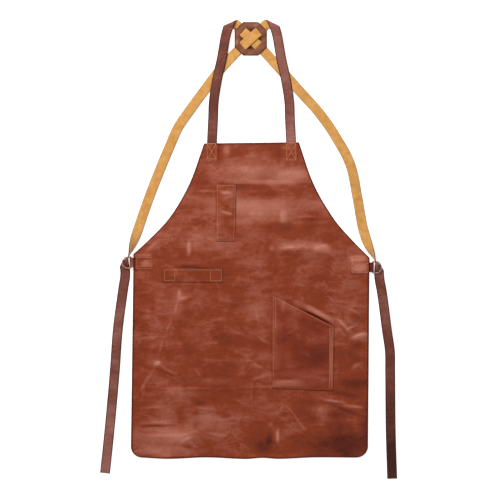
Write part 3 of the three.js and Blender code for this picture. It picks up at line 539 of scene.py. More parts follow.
# Creases and dents on top of them, sharper than the folds: the same columns.
CREASES = [
    # The bib: the edge of the broad fold, dents below it and the ridge above the skirt.
    (40, 700, 150, 8, 0, 1.2), (104, 716, 46, 18, 4, 1.4), (-110, 676, 46, 5, 0, 1.2),
    (-62, 778, 12, 30, 0, 0.8), (8, 625, 34, 30, 20, 0.9), (81, 613, 12, 24, 0, 2.2),
    (139, 612, 46, 6, -2, 1.0), (172, 581, 24, 3, -2, 0.9), (95, 533, 60, 8, 5, 1.6),
    (178, 534, 30, 9, 12, 2.2), (52, 531, 12, 10, 0, 1.6), (-158, 534, 5, 24, 0, 1.8),
    (-252, 536, 36, 7, 40, 1.2), (-70, 508, 60, 7, 6, 0.9), (10, 492, 80, 8, -4, 1.0),
    # Right of the slant pocket: streaks that spread from the side edge.
    (205, 426, 20, 5, -8, 1.8), (199, 407, 22, 5, -43, 1.8), (226, 398, 30, 5, -4, 1.3),
    (232, 340, 38, 6, -47, 2.4), (228, 322, 24, 5, -50, 1.5), (254, 333, 22, 5, 23, 2.4),
    (273, 311, 30, 7, 16, 3.2), (262, 372, 30, 6, -26, 1.4), (216, 368, 30, 7, -28, 1.4),
    (268, 236, 30, 8, 30, 1.6), (240, 262, 28, 5, -70, 1.0),
    # The panel puffs up above the slant pocket's mouth, and dips at the mouth's edge.
    (169, 368, 66, 13, -27, 3.4), (104, 402, 30, 9, -26, 1.2), (166, 359, 50, 3.5, -27, -1.5),
    # The panel dips along the towel loop's upper edge.
    (-160, 485.5, 44, 4, 0, -1.2), (-160, 494, 50, 8, 0, 1.0),
    # The long crease down the skirt's left side, and what branches from it.
    (-182, 418, 5, 16, 0, 1.8), (-170, 405, 16, 6, 10, 1.6), (-191, 382, 30, 5, 73, 1.6),
    (-209, 335, 28, 5, 65, 1.6), (-229, 282, 38, 5, 72, 1.5), (-237, 241, 14, 8, 30, 2.4),
    (-210, 223, 38, 6, -27, 2.2), (-200, 205, 34, 5, -24, 1.4), (-266, 196, 58, 6, 59, 1.6),
    (-259, 306, 36, 6, 0, 1.2), (-135, 217, 22, 5, -54, 1.8), (-120, 236, 24, 5, 30, 1.0),
    (-270, 420, 26, 5, 4, 1.2), (-262, 372, 30, 6, -6, 1.0), (-140, 425, 14, 8, 40, 1.0),
    # Packing creases: one across and one down the middle of the skirt.
    (-150, 178, 130, 5, 0, 1.2), (30, 182, 60, 5, 0, 1.0), (1, 168, 4, 60, 0, 1.2),
    # Streaks across the lower left, and the small creases near the hem.
    (-236, 92, 60, 6, 2, 1.4), (-230, 58, 70, 7, -2, 1.6), (-166, 48, 26, 5, 30, 1.8),
    (-150, 38, 22, 5, -38, 1.4), (-250, 130, 50, 6, 4, 1.2), (-120, 128, 50, 6, -6, 1.2),
    (-60, 100, 44, 6, 10, 1.2), (-90, 62, 40, 6, -12, 1.2), (-20, 140, 40, 6, -24, 1.0),
    (66, 58, 5, 22, -6, 1.8), (50, 88, 14, 6, 60, 1.2), (16, 120, 26, 6, -10, 1.0),
    # The lower right: streaks that fall to the right, and diagonals towards the hem.
    (170, 124, 30, 15, -32, 0.6), (208, 146, 42, 4.5, -7, 2.0), (263, 132, 38, 5, -7, 2.0),
    (216, 131, 56, 5, -16, -1.4), (176, 85, 24, 4, -6, 1.6),
    (121, 92, 48, 5, -54, 1.8), (136, 60, 22, 4, -35, 1.6), (164, 38, 24, 4, -50, 1.2),
    (104, 118, 26, 5, -46, 1.2), (236, 66, 30, 6, 40, 0.9), (262, 90, 8, 34, 0, 1.0),
    # Across the middle of the skirt.
    (-60, 400, 60, 8, -14, 1.0), (-90, 352, 60, 8, 10, 0.9), (-40, 322, 56, 8, -26, 1.1),
    (-100, 292, 50, 7, 14, 0.9), (-30, 268, 50, 7, -22, 1.1), (10, 240, 44, 7, -30, 1.2),
    (-80, 246, 50, 7, 8, 0.9), (16, 352, 6, 40, 10, 1.0), (-14, 452, 60, 8, -8, 1.0),
    (30, 300, 40, 6, -34, 1.2), (20, 206, 36, 6, 24, 1.0),
]
# Where the leather is lighter or darker than its clouds make it, with the same columns: uneven tone,
# with painted sheen and painted shade on the flanks of the folds.
TONES_AND_PAINTED_LIGHT = [
    # The bib: painted sheen on its broad folds and painted shade on the bands below them.
    (40, 720, 240, 60, 0, 0.6), (104, 716, 60, 26, 0, 0.6), (0, 640, 260, 60, 0, 0.75),
    (-62, 778, 16, 34, 0, 0.4), (20, 560, 260, 80, 0, 0.3), (-230, 380, 80, 160, 0, 0.3),
    (274, 484, 26, 16, 0, 1.6), (270, 508, 32, 12, 0, 1.3), (-268, 496, 24, 12, 0, 0.8),
    (68, 780, 22, 34, 0, -0.3), (0, 688, 190, 12, 0, -0.55), (70, 676, 120, 14, 0, -0.35),
    (34, 624, 90, 30, 0, 0.2), (18, 668, 84, 17, 0, -0.5), (-146, 634, 60, 30, 0, -0.4),
    (81, 613, 14, 28, 0, 0.5), (150, 606, 60, 8, 0, -0.4),
    (80, 582, 130, 20, 0, -0.25), (130, 540, 110, 16, 2, 0.4), (178, 534, 34, 18, 0, 0.5),
    (-158, 534, 8, 30, 0, 0.9), (-252, 532, 50, 18, 30, 0.3), (-140, 600, 60, 14, 0, -0.35),
    (-182, 415, 9, 22, 0, 0.6), (-237, 241, 16, 12, 0, 0.6), (-190, 395, 60, 30, 70, 0.2),
    (-130, 142, 24, 14, 0, -0.5), (-185, 172, 70, 20, 0, 0.3), (-240, 84, 60, 5, 0, -0.8),
    (-183, 108, 36, 64, 0, -0.55), (-118, 112, 34, 44, 0, 0.4), (-226, 20, 110, 24, 0, 0.7),
    (-180, 80, 180, 90, 0, 0.4), (-215, 60, 110, 34, 0, 0.3), (-166, 34, 24, 10, 0, -0.4),
    (-80, 110, 90, 60, 0, 0.15),
    (26, 34, 52, 36, 0, -0.5), (46, 50, 13, 24, 0, -0.8), (66, 56, 8, 26, 0, 0.7),
    (270, 286, 36, 18, 8, -0.6), (273, 312, 34, 12, 16, 0.8), (232, 340, 46, 10, -47, 0.4),
    (220, 400, 60, 40, 0, 0.2), (262, 196, 60, 30, 0, -0.45), (232, 164, 70, 12, -10, -0.5),
    (242, 122, 70, 8, -19, -0.7), (182, 110, 32, 38, 20, 0.6),
    (178, 116, 50, 28, -32, 0.35), (208, 147, 44, 6, -7, 0.5), (263, 133, 40, 8, -7, 0.4),
    (238, 40, 120, 70, 0, -0.9), (200, 110, 90, 50, 0, -0.5), (290, 90, 20, 90, 0, -0.5),
    (250, 260, 60, 60, 0, -0.2),
    # Painted highlight on the ridge above the slant pocket's mouth, and painted shadow in its mouth
    # and along the towel loop's upper edge.
    (169, 371, 60, 11, -27, 0.5), (166, 358.6, 54, 5, -27, -2.2), (-152, 484, 64, 2.6, 0, -1.2),
    (240, 470, 80, 40, 0, -0.1),
    (-280, 300, 30, 170, 0, -0.15), (20, 380, 60, 60, 0, 0.15), (0, 250, 50, 50, 0, 0.2),
    # The last two: painted highlights where the straps behind lift the bib's top edge.
    (-100, 458, 90, 30, 0, -0.25), (-103, 797, 14, 5, 0, 0.8), (101, 799, 14, 5, 0, 0.8),
]


def panel_edge(side, y):
    lean = SKIRT_LEAN[side] * np.clip(1 - y / SIDE_CORNER, 0, 1)
    half = PANEL_WIDTH / 2
    reach = along_curve(ARMHOLE, (PANEL_HEIGHT - y) / ARMHOLE_DEPTH)
    upper = side * (BIB_WIDTH / 2 + reach * (half - BIB_WIDTH / 2))
    fall = np.maximum(HEM_CORNER - y, 0)
    corner = HEM_CORNER - np.sqrt(np.maximum(HEM_CORNER ** 2 - fall ** 2, 0))
    return np.where(y >= SIDE_CORNER, upper, side * (half - corner) + lean)


# Room beside what is sewn behind the panel, and how far the panel slopes down beside it.
SEAM_MARGIN, SEAM_FADE_X, SEAM_FADE_Y = 1, 7, 8


def seam_lift(x, y):
    """How far straps and ring strips behind the panel push it up."""
    off_strap = np.abs(x) - (BIB_WIDTH / 2 - STRAP_INSET)
    lift = ((STRAP_THICKNESS + CLEARANCE)
            * plateau(off_strap, STRAP_WIDTH / 2 + SEAM_MARGIN, SEAM_FADE_X)
            * plateau(PANEL_HEIGHT - y, STRAP_LAP + SEAM_MARGIN, SEAM_FADE_Y))
    for side, name in SIDES:
        level = RING_LEVEL[name]
        inwards = side * (panel_edge(side, np.array(float(level))) - x)
        lift = np.maximum(lift, 2 * (TAB_THICKNESS + CLEARANCE)
                          * plateau(inwards, TAB_LAP + SEAM_MARGIN, SEAM_FADE_X)
                          * plateau(y - level, TAB_WIDTH / 2 + SEAM_MARGIN, SEAM_FADE_Y))
    return lift


def panel_lift(x, y):
    """Height of the panel's underside."""
    loose = (0.9 * noise(x, y, 150, 60, 4, 11) + 0.7 * noise(x, y, 70, 34, -8, 12)
             + 0.35 * noise(x, y, 34, 18, 10, 13))
    return np.maximum(lumps(FOLDS, x, y), seam_lift(x, y)) + np.maximum(loose + 0.5, 0)


def wrinkles(x, y):
    """Fine relief of the panel's front face."""
    return (lumps(CREASES, x, y) + 0.30 * noise(x, y, 24, 12, -12, 14)
            + 0.16 * noise(x, y, 11, 7, 20, 15))


def seam_dents(x, y, lines, depth, width):
    """A groove along stitched lines."""
    dent = np.zeros(np.broadcast(x, y).shape)
    for (x0, y0), (x1, y1) in lines:
        length = math.hypot(x1 - x0, y1 - y0)
        ux, uy = (x1 - x0) / length, (y1 - y0) / length
        along = (x - x0) * ux + (y - y0) * uy
        away = np.hypot((x - x0) - np.clip(along, 0, length) * ux,
                        (y - y0) - np.clip(along, 0, length) * uy)
        dent = np.maximum(dent, bell(away / width))
    return -depth * dent


def box_lines(x0, y0, x1, y1, crossed):
    corners = [(x0, y0), (x1, y0), (x1, y1), (x0, y1)]
    lines = [(corners[n], corners[(n + 1) % 4]) for n in range(4)]
    return lines + ([(corners[0], corners[2]), (corners[1], corners[3])] if crossed else [])


STRAP_BOXES = [box_lines(-112, 759, -90, 797, True), box_lines(89, 757, 112, 798, True)]
TAB_BOXES = [box_lines(-290, 481, -252, 510, False), [((-290, 488), (-252, 488))],
             box_lines(254, 472, 295, 496, True)]
PANEL_SEAMS = [line for box in STRAP_BOXES + TAB_BOXES for line in box]


# Depth and half width of the groove that stitches press into the panel and into a pocket.
PANEL_DENT, POCKET_DENT = (0.45, 3.2), (0.55, 3.4)


def panel_top(x, y):
    return (panel_lift(x, y) + PANEL_THICKNESS + wrinkles(x, y)
            + seam_dents(x, y, PANEL_SEAMS, *PANEL_DENT))


# Creases lighten the leather by their height. The border is darker: partly its dark cut edge, partly a
# painted shadow along it.
CREASE_TONE = 0.22
EDGE_TONE, EDGE_REACH = 2.4, 5.0
BIB_ROWS, SKIRT_ROWS, CORNER_ROWS, PANEL_COLUMNS = 110, 182, 12, 220


def panel_rows():
    """Levels of the grid's rows, closer together at the rounded hem corners."""
    bib = PANEL_HEIGHT - ARMHOLE_DEPTH * np.arange(BIB_ROWS) / BIB_ROWS
    skirt = SIDE_CORNER + (HEM_CORNER - SIDE_CORNER) * np.arange(SKIRT_ROWS) / SKIRT_ROWS
    turn = np.pi / 2 * np.arange(CORNER_ROWS + 1) / CORNER_ROWS
    return np.concatenate([bib, skirt, HEM_CORNER * (1 - np.sin(turn))])


def hem_and_tilt(share, y):
    """How far the hem waves and the top and the side corners tilt, in the plan."""
    near_hem = 1 - np.clip(y / EDGE_FADE, 0, 1)
    near_top = 1 - np.clip((PANEL_HEIGHT - y) / EDGE_FADE, 0, 1)
    near_corner = 1 - np.clip(np.abs(y - SIDE_CORNER) / CORNER_FADE, 0, 1)
    tilt = (BIB_TOP_RISE * near_top + CORNER_TILT * near_corner) * (share - 0.5)
    return HEM_WAVE * along_curve(HEM, share) * near_hem, tilt


def panel_tone(x, y, inset):
    """Lighter at creases, painted sheen and shade from the table, darker at the border (the dark cut
    edge and a painted shadow along it), and a painted highlight on the top edge where the straps
    behind lift it.
    """
    tone = lumps(TONES_AND_PAINTED_LIGHT, x, y) + CREASE_TONE * np.maximum(lumps(CREASES, x, y), 0)
    tone -= EDGE_TONE * (1 - smooth(inset / EDGE_REACH))
    # A painted highlight on the top row where the straps behind lift the edge.
    strap_highlight = np.abs(x[0]) > BIB_WIDTH / 2 - STRAP_INSET - STRAP_WIDTH / 2
    tone[0] += 1.6 * EDGE_TONE * strap_highlight
    return tone


def make_panel():
    y = panel_rows()[:, None]
    share = np.linspace(0, 1, PANEL_COLUMNS + 1)[None, :]
    left, right = panel_edge(-1, y), panel_edge(1, y)
    x = left + (right - left) * share
    inset = np.minimum(np.minimum(x - left, right - x), np.minimum(y, PANEL_HEIGHT - y))
    wave, tilt = hem_and_tilt(share, y)
    y = y + wave + tilt
    top = np.stack([x, y, panel_top(x, y)], -1)
    under = np.stack([x, y, panel_lift(x, y)], -1)[::2, ::2]
    border = np.zeros(x.shape, bool)
    border[:, [0, -1]] = border[-1] = border[0] = True
    top[border, 2] -= EDGE_ROUNDING
    panel = leather_sheet("apron_front", top, under, [PANEL_GRAIN, SUEDE, DARK_EDGE],
                          panel_tone(x, y, inset))
    dress(panel, "apron_panel")


# Pockets and the towel loop.

# How far down a mouth's gape or the loop's arch reaches, as a share of its height or half span.
GAPE_REACH = 0.62
# Share of the solid's gape that each pocket's leather has.
PEN_GAPE, SLANT_GAPE = 0.75, 0.85


def mouth_lift(gape):
    """The lift of a pocket that is sewn at its sides and bottom and gapes at its mouth."""
    def lift(u, v):
        return gape * (1 - np.abs(2 * u - 1) ** 4) * np.clip(v / GAPE_REACH, 0, 1) ** 0.8
    return lift


def height_finder(grid):
    """A function for the height at plan points, taken from the grid's nearest point."""
    def surface(px, py):
        nearest = [np.argmin((grid[..., 0] - x) ** 2 + (grid[..., 1] - y) ** 2)
                   for x, y in zip(np.ravel(px), np.ravel(py))]
        return grid[..., 2].flat[nearest]
    return surface


def on_panel(name, node, corners, size, shape, seams, bulges, material, shade):
    """A four-cornered piece over the panel: shape(u, v) lifts it, bulges are lumps in its plan.
    Gives a function for the height of its top."""
    lower_left, lower_right, upper_right, upper_left = (np.array(c, float) for c in corners)
    v = np.linspace(0, 1, size[0] + 1)[:, None, None]
    u = np.linspace(0, 1, size[1] + 1)[None, :, None]
    place = ((1 - v) * ((1 - u) * lower_left + u * lower_right)
             + v * ((1 - u) * upper_left + u * upper_right))
    x, y = place[..., 0], place[..., 1]
    lift = shape(u[..., 0], v[..., 0])
    seat = panel_top(x, y) + CLEARANCE + lift
    loose = np.clip(lift / 2, 0.25, 1)
    ripples = 0.5 * noise(x, y, 44, 26, 12, 31) + 0.25 * noise(x, y, 18, 11, -20, 32)
    relief = lumps(bulges, x, y) + loose * ripples + seam_dents(x, y, seams, *POCKET_DENT)
    upper = np.stack([x, y, seat + np.maximum(relief, -0.3 - lift * 0.5) + POCKET_THICKNESS], -1)
    lower = upper - np.array([0, 0, POCKET_THICKNESS])
    # Lighter where the piece bulges, darker as painted shade in its stitch grooves, and the table's
    # painted highlights and shade.
    tone = shade + 0.2 * relief + 0.5 * lumps(POCKET_TONES_AND_PAINTED_LIGHT, x, y)
    piece = leather_sheet(name, upper, lower, [material, SUEDE, DARK_EDGE], tone)
    dress(piece, node)
    return height_finder(upper)


# Where the pockets are lighter or darker, with the panel's columns: painted highlights on their
# ridges, on the slant pocket's welt and along its bottom, painted shade below the pen pocket's ridges
# and near the slant pocket's mouth, and uneven tone.
POCKET_TONES_AND_PAINTED_LIGHT = [
    (90, 192, 66, 15, 2, 2.1), (60, 300, 14, 120, 0, 0.8), (120, 340, 60, 40, -20, -0.4),
    (150, 250, 70, 60, 0, -0.5), (202, 255, 7, 100, 0, 2.2), (96, 386, 40, 18, -20, 0.6),
    (110, 270, 40, 40, 0, -0.3), (170, 330, 50, 20, -26, -0.8), (130, 212, 90, 16, 0, 0.5),
    (-64, 673, 20, 5, 0, 1.8), (-62, 622, 22, 5, -14, 1.5), (-64, 640, 24, 14, 0, -0.5),
    (-64, 590, 24, 30, 0, -0.5),
]
PEN_BULGES = [(-64, 673, 24, 8, 0, 1.2), (-62, 622, 26, 7, -14, 1.0), (-66, 585, 16, 26, 8, 0.8)]
SLANT_BULGES = [
    (82, 385, 10, 26, -10, 1.2), (110, 350, 26, 40, -18, 1.2), (150, 300, 44, 30, 14, 1.0),
    (95, 250, 30, 44, 0, 1.0), (90, 193, 50, 12, 2, 2.2), (160, 200, 40, 14, -4, 1.0),
    (202, 250, 5, 90, 0, 1.0), (58, 300, 4, 110, 0, 0.6), (130, 230, 24, 14, 0, -0.8),
    (170, 330, 30, 8, -28, 0.8), (74, 300, 6, 90, 0, 0.8), (120, 300, 8, 50, 12, 0.9),
    (140, 262, 40, 7, -24, 0.9), (100, 320, 40, 7, 30, 0.7),
]


# Each pocket's function gives what its stitches need: their name, the seam lines, the surface
# that they lie on, and the thread.

def make_pen_pocket():
    left, bottom, right, top = box_of(PEN)
    corners = [(left, bottom), (right - PEN["taper"], bottom), (right, top), (left, top)]
    a, b, c, d = (-85.5, 555), (-45, 555), (-40.8, 692), (-85.5, 692)
    lines = [(d, a), (a, b), (b, c), (c, d)]
    surface = on_panel("pen_pocket_front", "pen_pocket", corners, (96, 40),
                       mouth_lift(PEN["gape"] * PEN_GAPE), lines, PEN_BULGES,
                       PANEL_GRAIN, 0.15)
    # The bottom seam has the darker thread, as painted shade.
    return [("pen_pocket_stitches", lines[::2] + lines[3:], surface, THREAD),
            ("pen_pocket_shaded_stitches", [lines[1]], surface, SHADED_THREAD)]


def make_slant_pocket():
    p = SLANT
    left, bottom, right = p["left"], p["bottom"], p["left"] + p["width"]
    corners = [(left, bottom + p["drop"]), (right - 3, bottom), (right, bottom + p["right_height"]),
               (left, bottom + p["drop"] + p["left_height"])]
    a, b, c, d = (54.8, 181.6), (203.5, 177), (206.4, 333.2), (54.8, 411.2)
    inner_left, inner_right = ((61.2, 183), (61.2, 407)), ((196.5, 178.5), (198.5, 336.5))
    surface = on_panel("slant_pocket_front", "slant_pocket", corners, (110, 84),
                       mouth_lift(p["gape"] * SLANT_GAPE),
                       [(d, a), (a, b), (b, c), (c, d), inner_left, inner_right], SLANT_BULGES,
                       POCKET_GRAIN, 0.0)
    # The lower seams have the darker thread, as painted shade.
    bright = [(d, (54.8, 205)), (b, c), (c, d), ((61.2, 330), (61.2, 407)), inner_right]
    wear_and_shade = [((54.8, 205), a), (a, b), ((61.2, 183), (61.2, 330))]
    return [("slant_pocket_stitches", bright, surface, THREAD),
            ("slant_pocket_shaded_stitches", wear_and_shade, surface, SHADED_THREAD)]


def make_towel_loop():
    left, bottom, right, top = box_of(LOOP)
    lap = LOOP["lap"] / LOOP["width"]

    def arch(u, v):
        inside = (0.5 - np.abs(u - 0.5) - lap) / (0.5 - lap)
        return LOOP["gape"] * smooth(inside / GAPE_REACH) * (0.04 + 0.55 * v)

    lines = [*box_lines(-220.4, 452, -194.5, 478.5, False),
             *box_lines(-103.5, 450.5, -76.5, 478.5, False), ((-194.5, 478.5), (-103.5, 478.5))]
    corners = [(left, bottom), (right, bottom), (right, top), (left, top)]
    surface = on_panel("towel_loop_band", "towel_loop", corners, (30, 110), arch, lines, [],
                       PANEL_GRAIN, 0.0)
    return [("towel_loop_stitches", lines, surface, THREAD)]


def box_of(p):
    return p["left"], p["bottom"], p["left"] + p["width"], p["bottom"] + p["height"]


# Straps.

def section(outer, inner, raised, shift):
    """Inwards and up offsets across a strap for arrays of slopes, from its outer edge on."""
    share = (np.arange(STRAP_COLUMNS) + 0.5) / STRAP_COLUMNS
    slope = np.radians(outer[:, None] + (inner - outer)[:, None] * share)
    length = STRAP_WIDTH / STRAP_COLUMNS
    nought = np.zeros((len(outer), 1))
    inwards = np.concatenate([nought, np.cumsum(length * np.cos(slope), 1)], 1)
    up = np.concatenate([nought, np.cumsum(length * np.sin(slope), 1)], 1)
    centre = (inwards.min(1) + inwards.max(1)) / 2 + shift * STRAP_WIDTH
    base = raised + STRAP_THICKNESS / 2 * np.abs(np.cos(np.radians(outer)))
    return inwards - centre[:, None], up + base[:, None]


def laid(route, s, sections):
    """Sections across a strap laid along a route."""
    inwards, up = sections
    place, way = route.place(s), route.inwards(s)
    flat = place[:, None, :] + way[:, None, :] * inwards[..., None]
    return np.concatenate([flat, up[..., None]], -1)


def ring_place(side, name):
    """Plan point of the middle of a ring's bow."""
    edge = float(panel_edge(side, np.array(float(RING_LEVEL[name]))))
    return edge + side * (BAR_REACH[side] + BAR_TO_BOW), RING_LEVEL[name]


# How light each strap is, by the corner where it starts: its front run, its tie at half the
# tie's height, and how much lighter the tie is at its ring.
STRAP_TONES = {"left": (0.05, -0.2, 0.5), "right": (0.5, 0.4, -0.3)}
TIE_MIDDLE, TIE_HALF = 230, 230
TONE_DELAY = 25
# How much darker a strap's edges are: its dark cut edge and a painted shadow along it.
STRAP_EDGE_TONE = 2.0
STRAP_COLUMNS, FRONT_STATIONS, FOLD_STATIONS = 8, 90, 52
FIRST_STATION, STATION_STEP, PATCH_STEP, PATCH_REACH = 2.5, 3.2, 1.1, 36
# Where the strap lies free: beyond the patch in millimetres, and before and after the ring in
# ring heights. Each is a distance and the length over which it comes free.
FREE_OF_PATCH, FREE_BEFORE_RING, FREE_AFTER_RING = (70, 60), (3.2, 2), (1.6, 2)


def front_run(bib, fold, flat_half):
    """Up the front and over the other strap, to the fold. Gives its direction there too."""
    up_front = route_places(bib, fold, FRONT_ROUTE)
    last = route_places(bib, fold, [(0.94, 0.013)])[0]
    arrive = (fold - last) / np.linalg.norm(fold - last)
    front = Route([bib - [0, STRAP_LAP], bib, *up_front, fold - arrive * flat_half])
    s = np.linspace(0, front.length, FRONT_STATIONS)
    along = (front.place(s)[:, 1] - bib[1]) / np.linalg.norm(fold - bib)
    level = np.interp(along, [0.28, 0.37, 0.72, 0.94],
                      [FLOOR_LEVEL, OVER_LEVEL, OVER_LEVEL, FOLD_TOP_LEVEL])
    nought = np.zeros_like(s)
    return laid(front, s, section(nought, nought, level - FLOOR_LEVEL, nought)), arrive


def fold_run(fold, arrive, leave, flat_half):
    """The strap rolls under itself about a line across it."""
    fold_line = (arrive + leave) / np.linalg.norm(arrive + leave)
    over = (arrive - leave) / np.linalg.norm(arrive - leave)
    roll_length = math.pi * FOLD_RADIUS / arrive.dot(over)
    across = np.array([arrive[1], -arrive[0]])
    s = np.linspace(-flat_half, flat_half + roll_length, FOLD_STATIONS)[1:]
    sideways = (np.linspace(0, 1, STRAP_COLUMNS + 1) - 0.5)[None, :, None]
    spots = fold + arrive * s[:, None, None] + across * STRAP_WIDTH * sideways
    away = spots - fold
    beyond = away @ over
    on_line = fold + (away @ fold_line)[..., None] * fold_line
    angle = np.clip(beyond / FOLD_RADIUS, 0, math.pi)
    past = np.maximum(beyond - math.pi * FOLD_RADIUS, 0)
    out = np.where(beyond <= 0, beyond, FOLD_RADIUS * np.sin(angle) - past)
    drop = FOLD_RADIUS * (1 - np.cos(angle))
    flat = on_line + out[..., None] * over
    return np.concatenate([flat, (FOLD_TOP_LEVEL - drop)[..., None]], -1)


def freed(distance, limits):
    start, fade = limits
    return smooth((distance - start) / fade)


def waving(s, side, free):
    """A loose strap doesn't lie quite flat between its fixed places."""
    wave = 1.4 * noise(s, 0 * s, 70, 1, 0, 51 + side) + 0.7 * noise(s, 0 * s, 33, 1, 0, 53 + side)
    tip = 0.8 * noise(s, 0 * s, 60, 1, 0, 57 + side)
    sideways = np.linspace(-1, 1, STRAP_COLUMNS + 1)
    return free[:, None] * np.maximum(wave[:, None] + tip[:, None] * sideways + 0.4, 0)


def back_run(fold_end, patch, crossing, ring, far, side, cross_level):
    """Down behind the back: through the patch, over the ring's upper bow, through the ring."""
    slant = math.radians(TIE_SLANT[far])
    tie_end = ring + np.array([math.sin(slant), -math.cos(slant)]) * TIE_LENGTH[far]
    reach = SLIT_DISTANCE + 2 * SLIT_OPENING
    beside = [patch + crossing * d for d in (-reach, -SLIT_DISTANCE, 0, SLIT_DISTANCE, reach)]
    down = route_places(patch, ring, BACK_ROUTE[far])
    tie = route_places(ring, tie_end, TIE_ROUTE[far])
    back = Route([fold_end, *beside, *down, ring, *tie, tie_end])
    patch_at, ring_at = back.stops[3], back.stops[6 + len(down)]
    s = np.arange(FIRST_STATION, back.length, STATION_STEP)
    s = np.sort(np.concatenate([s[s < back.length - 1], [back.length],
                                patch_at + np.arange(-PATCH_REACH, PATCH_REACH, PATCH_STEP)]))
    level_stops = [STRAP_WIDTH / 2 * 1.15, SLIT_INNER - CLEARANCE, SLIT_OUTER + CLEARANCE]
    patch_level = np.interp(np.abs(s - patch_at), level_stops, [cross_level, LIP_LEVEL, FLOOR_LEVEL])
    before = (ring_at - s) / RING_HEIGHT
    keys, *columns = zip(*TURN_OVER[::-1])
    outer, inner, lift, shift = (np.interp(before, keys, column) for column in columns)
    raised = lift * OVER_BOW_LIFT + patch_level - FLOOR_LEVEL
    rows = laid(back, s, section(outer, inner, raised, shift))
    free = (freed(s - patch_at, FREE_OF_PATCH) * freed(before, FREE_BEFORE_RING)
            + freed(-before, FREE_AFTER_RING))
    rows[..., 2] += waving(s, side, free)
    return rows


def strap_grid(start, far, cross_level):
    """The middle grid of one strap, worked out with its start on the left and then mirrored."""
    mirror = 1 if start == "left" else -1
    side = -1 if far == "left" else 1
    bib = np.array([STRAP_INSET - BIB_WIDTH / 2, PANEL_HEIGHT])
    fold = np.array([-FOLD_OFFSET, FOLD_HEIGHT])
    patch = np.array([mirror * PATCH_X, PATCH_Y], float)
    bow_x, bow_y = ring_place(side, far)
    ring = np.array([side * bow_x + (BOW_RADIUS + TAB_LOOP - BAR_TO_BOW) / 2, bow_y])
    angle = math.radians(CROSS_ANGLE)
    crossing = np.array([math.cos(angle), -math.sin(angle)])
    flat_half = STRAP_WIDTH / 2 / math.tan(angle)
    entry = patch - crossing * (SLIT_DISTANCE + 3 * SLIT_OPENING)
    leave = (entry - fold) / np.linalg.norm(entry - fold)
    front_rows, arrive = front_run(bib, fold, flat_half)
    fold_rows = fold_run(fold, arrive, leave, flat_half)
    fold_end = fold_rows[-1].mean(0)[:2]
    back_rows = back_run(fold_end, patch, crossing, ring, far, side, cross_level)
    grid = np.concatenate([front_rows, fold_rows, back_rows])
    grid[..., 0] *= mirror
    return grid


def make_strap(start, far, cross_level):
    grid = strap_grid(start, far, cross_level)
    name = f"strap_from_{start}"
    tone = 0.3 * noise(grid[..., 0], grid[..., 1], 60, 40, 0, 61)
    front, tie, fall = STRAP_TONES[start]
    tie_tone = tie + fall * np.clip((grid[:, 0, 1] - TIE_MIDDLE) / TIE_HALF, -1, 1)
    behind = smooth((np.arange(len(grid)) - FRONT_STATIONS - TONE_DELAY) / TONE_DELAY)
    tone += (front + (tie_tone - front) * behind)[:, None]
    # Both edges darker: the dark cut edge and a painted shadow along it, which the suede also shows as
    # painted shade.
    tone[:, [0, -1]] -= STRAP_EDGE_TONE
    strap = strap_piece(name + "_leather", grid, STRAP_THICKNESS, [STRAP_GRAIN, SUEDE, DARK_EDGE],
                        grain_up=start == "right", tone=tone)
    dress(strap, name)


# Patch, rings and their strips.

def patch_lift(x, y):
    """Height of the patch's underside over its plan, from its own middle."""
    lift = np.zeros(np.broadcast(x, y).shape)
    for turn in SLIT_TURNS:
        along, across = along_across(x, y, turn)
        lift = np.maximum(lift, PATCH_RISE * np.clip((along - SLIT_INNER) / SLIT_OPENING, 0, 1)
                          * plateau(across, SLIT_LENGTH / 2, SLIT_FADE))
    return lift


PATCH_CELL = 1.6


def cut(mesh, point, normal, clear=False):
    """Divides the mesh at a plane and clears what is beyond it if asked."""
    parts = mesh.verts[:] + mesh.edges[:] + mesh.faces[:]
    bmesh.ops.bisect_plane(mesh, geom=parts, dist=1e-5, plane_co=point, plane_no=normal,
                           clear_outer=clear)


def patch_outline(mesh):
    """A fine flat grid, cut to the patch's eight sides."""
    columns, rows = int(PATCH_WIDTH / PATCH_CELL) + 2, int(PATCH_HEIGHT / PATCH_CELL) + 2
    bmesh.ops.create_grid(mesh, x_segments=columns, y_segments=rows, size=1)
    for v in mesh.verts:
        v.co.x *= columns * PATCH_CELL / 2
        v.co.y *= rows * PATCH_CELL / 2
    half_w, half_h = PATCH_WIDTH / 2, PATCH_HEIGHT / 2
    for sx in (-1, 1):
        cut(mesh, (sx * half_w, 0, 0), (sx, 0, 0), True)
        cut(mesh, (0, sx * half_h, 0), (0, sx, 0), True)
        for sy in (-1, 1):
            corner = (sx * (half_w - PATCH_CUT / 2), sy * (half_h - PATCH_CUT / 2), 0)
            cut(mesh, corner, Vector((sx, sy, 0)).normalized(), True)


def cut_slit(mesh, turn):
    a = math.radians(turn)
    ahead, aside = Vector((math.cos(a), math.sin(a), 0)), Vector((-math.sin(a), math.cos(a), 0))
    for distance in (SLIT_INNER, SLIT_OUTER):
        cut(mesh, ahead * distance, ahead)
    for offset in (-SLIT_LENGTH / 2, SLIT_LENGTH / 2):
        cut(mesh, aside * offset, aside)
    gone = []
    for face in mesh.faces:
        middle = face.calc_center_median()
        along, across = middle.dot(ahead), middle.dot(aside)
        if SLIT_INNER < along < SLIT_OUTER and abs(across) < SLIT_LENGTH / 2:
            gone.append(face)
    bmesh.ops.delete(mesh, geom=gone, context="FACES")


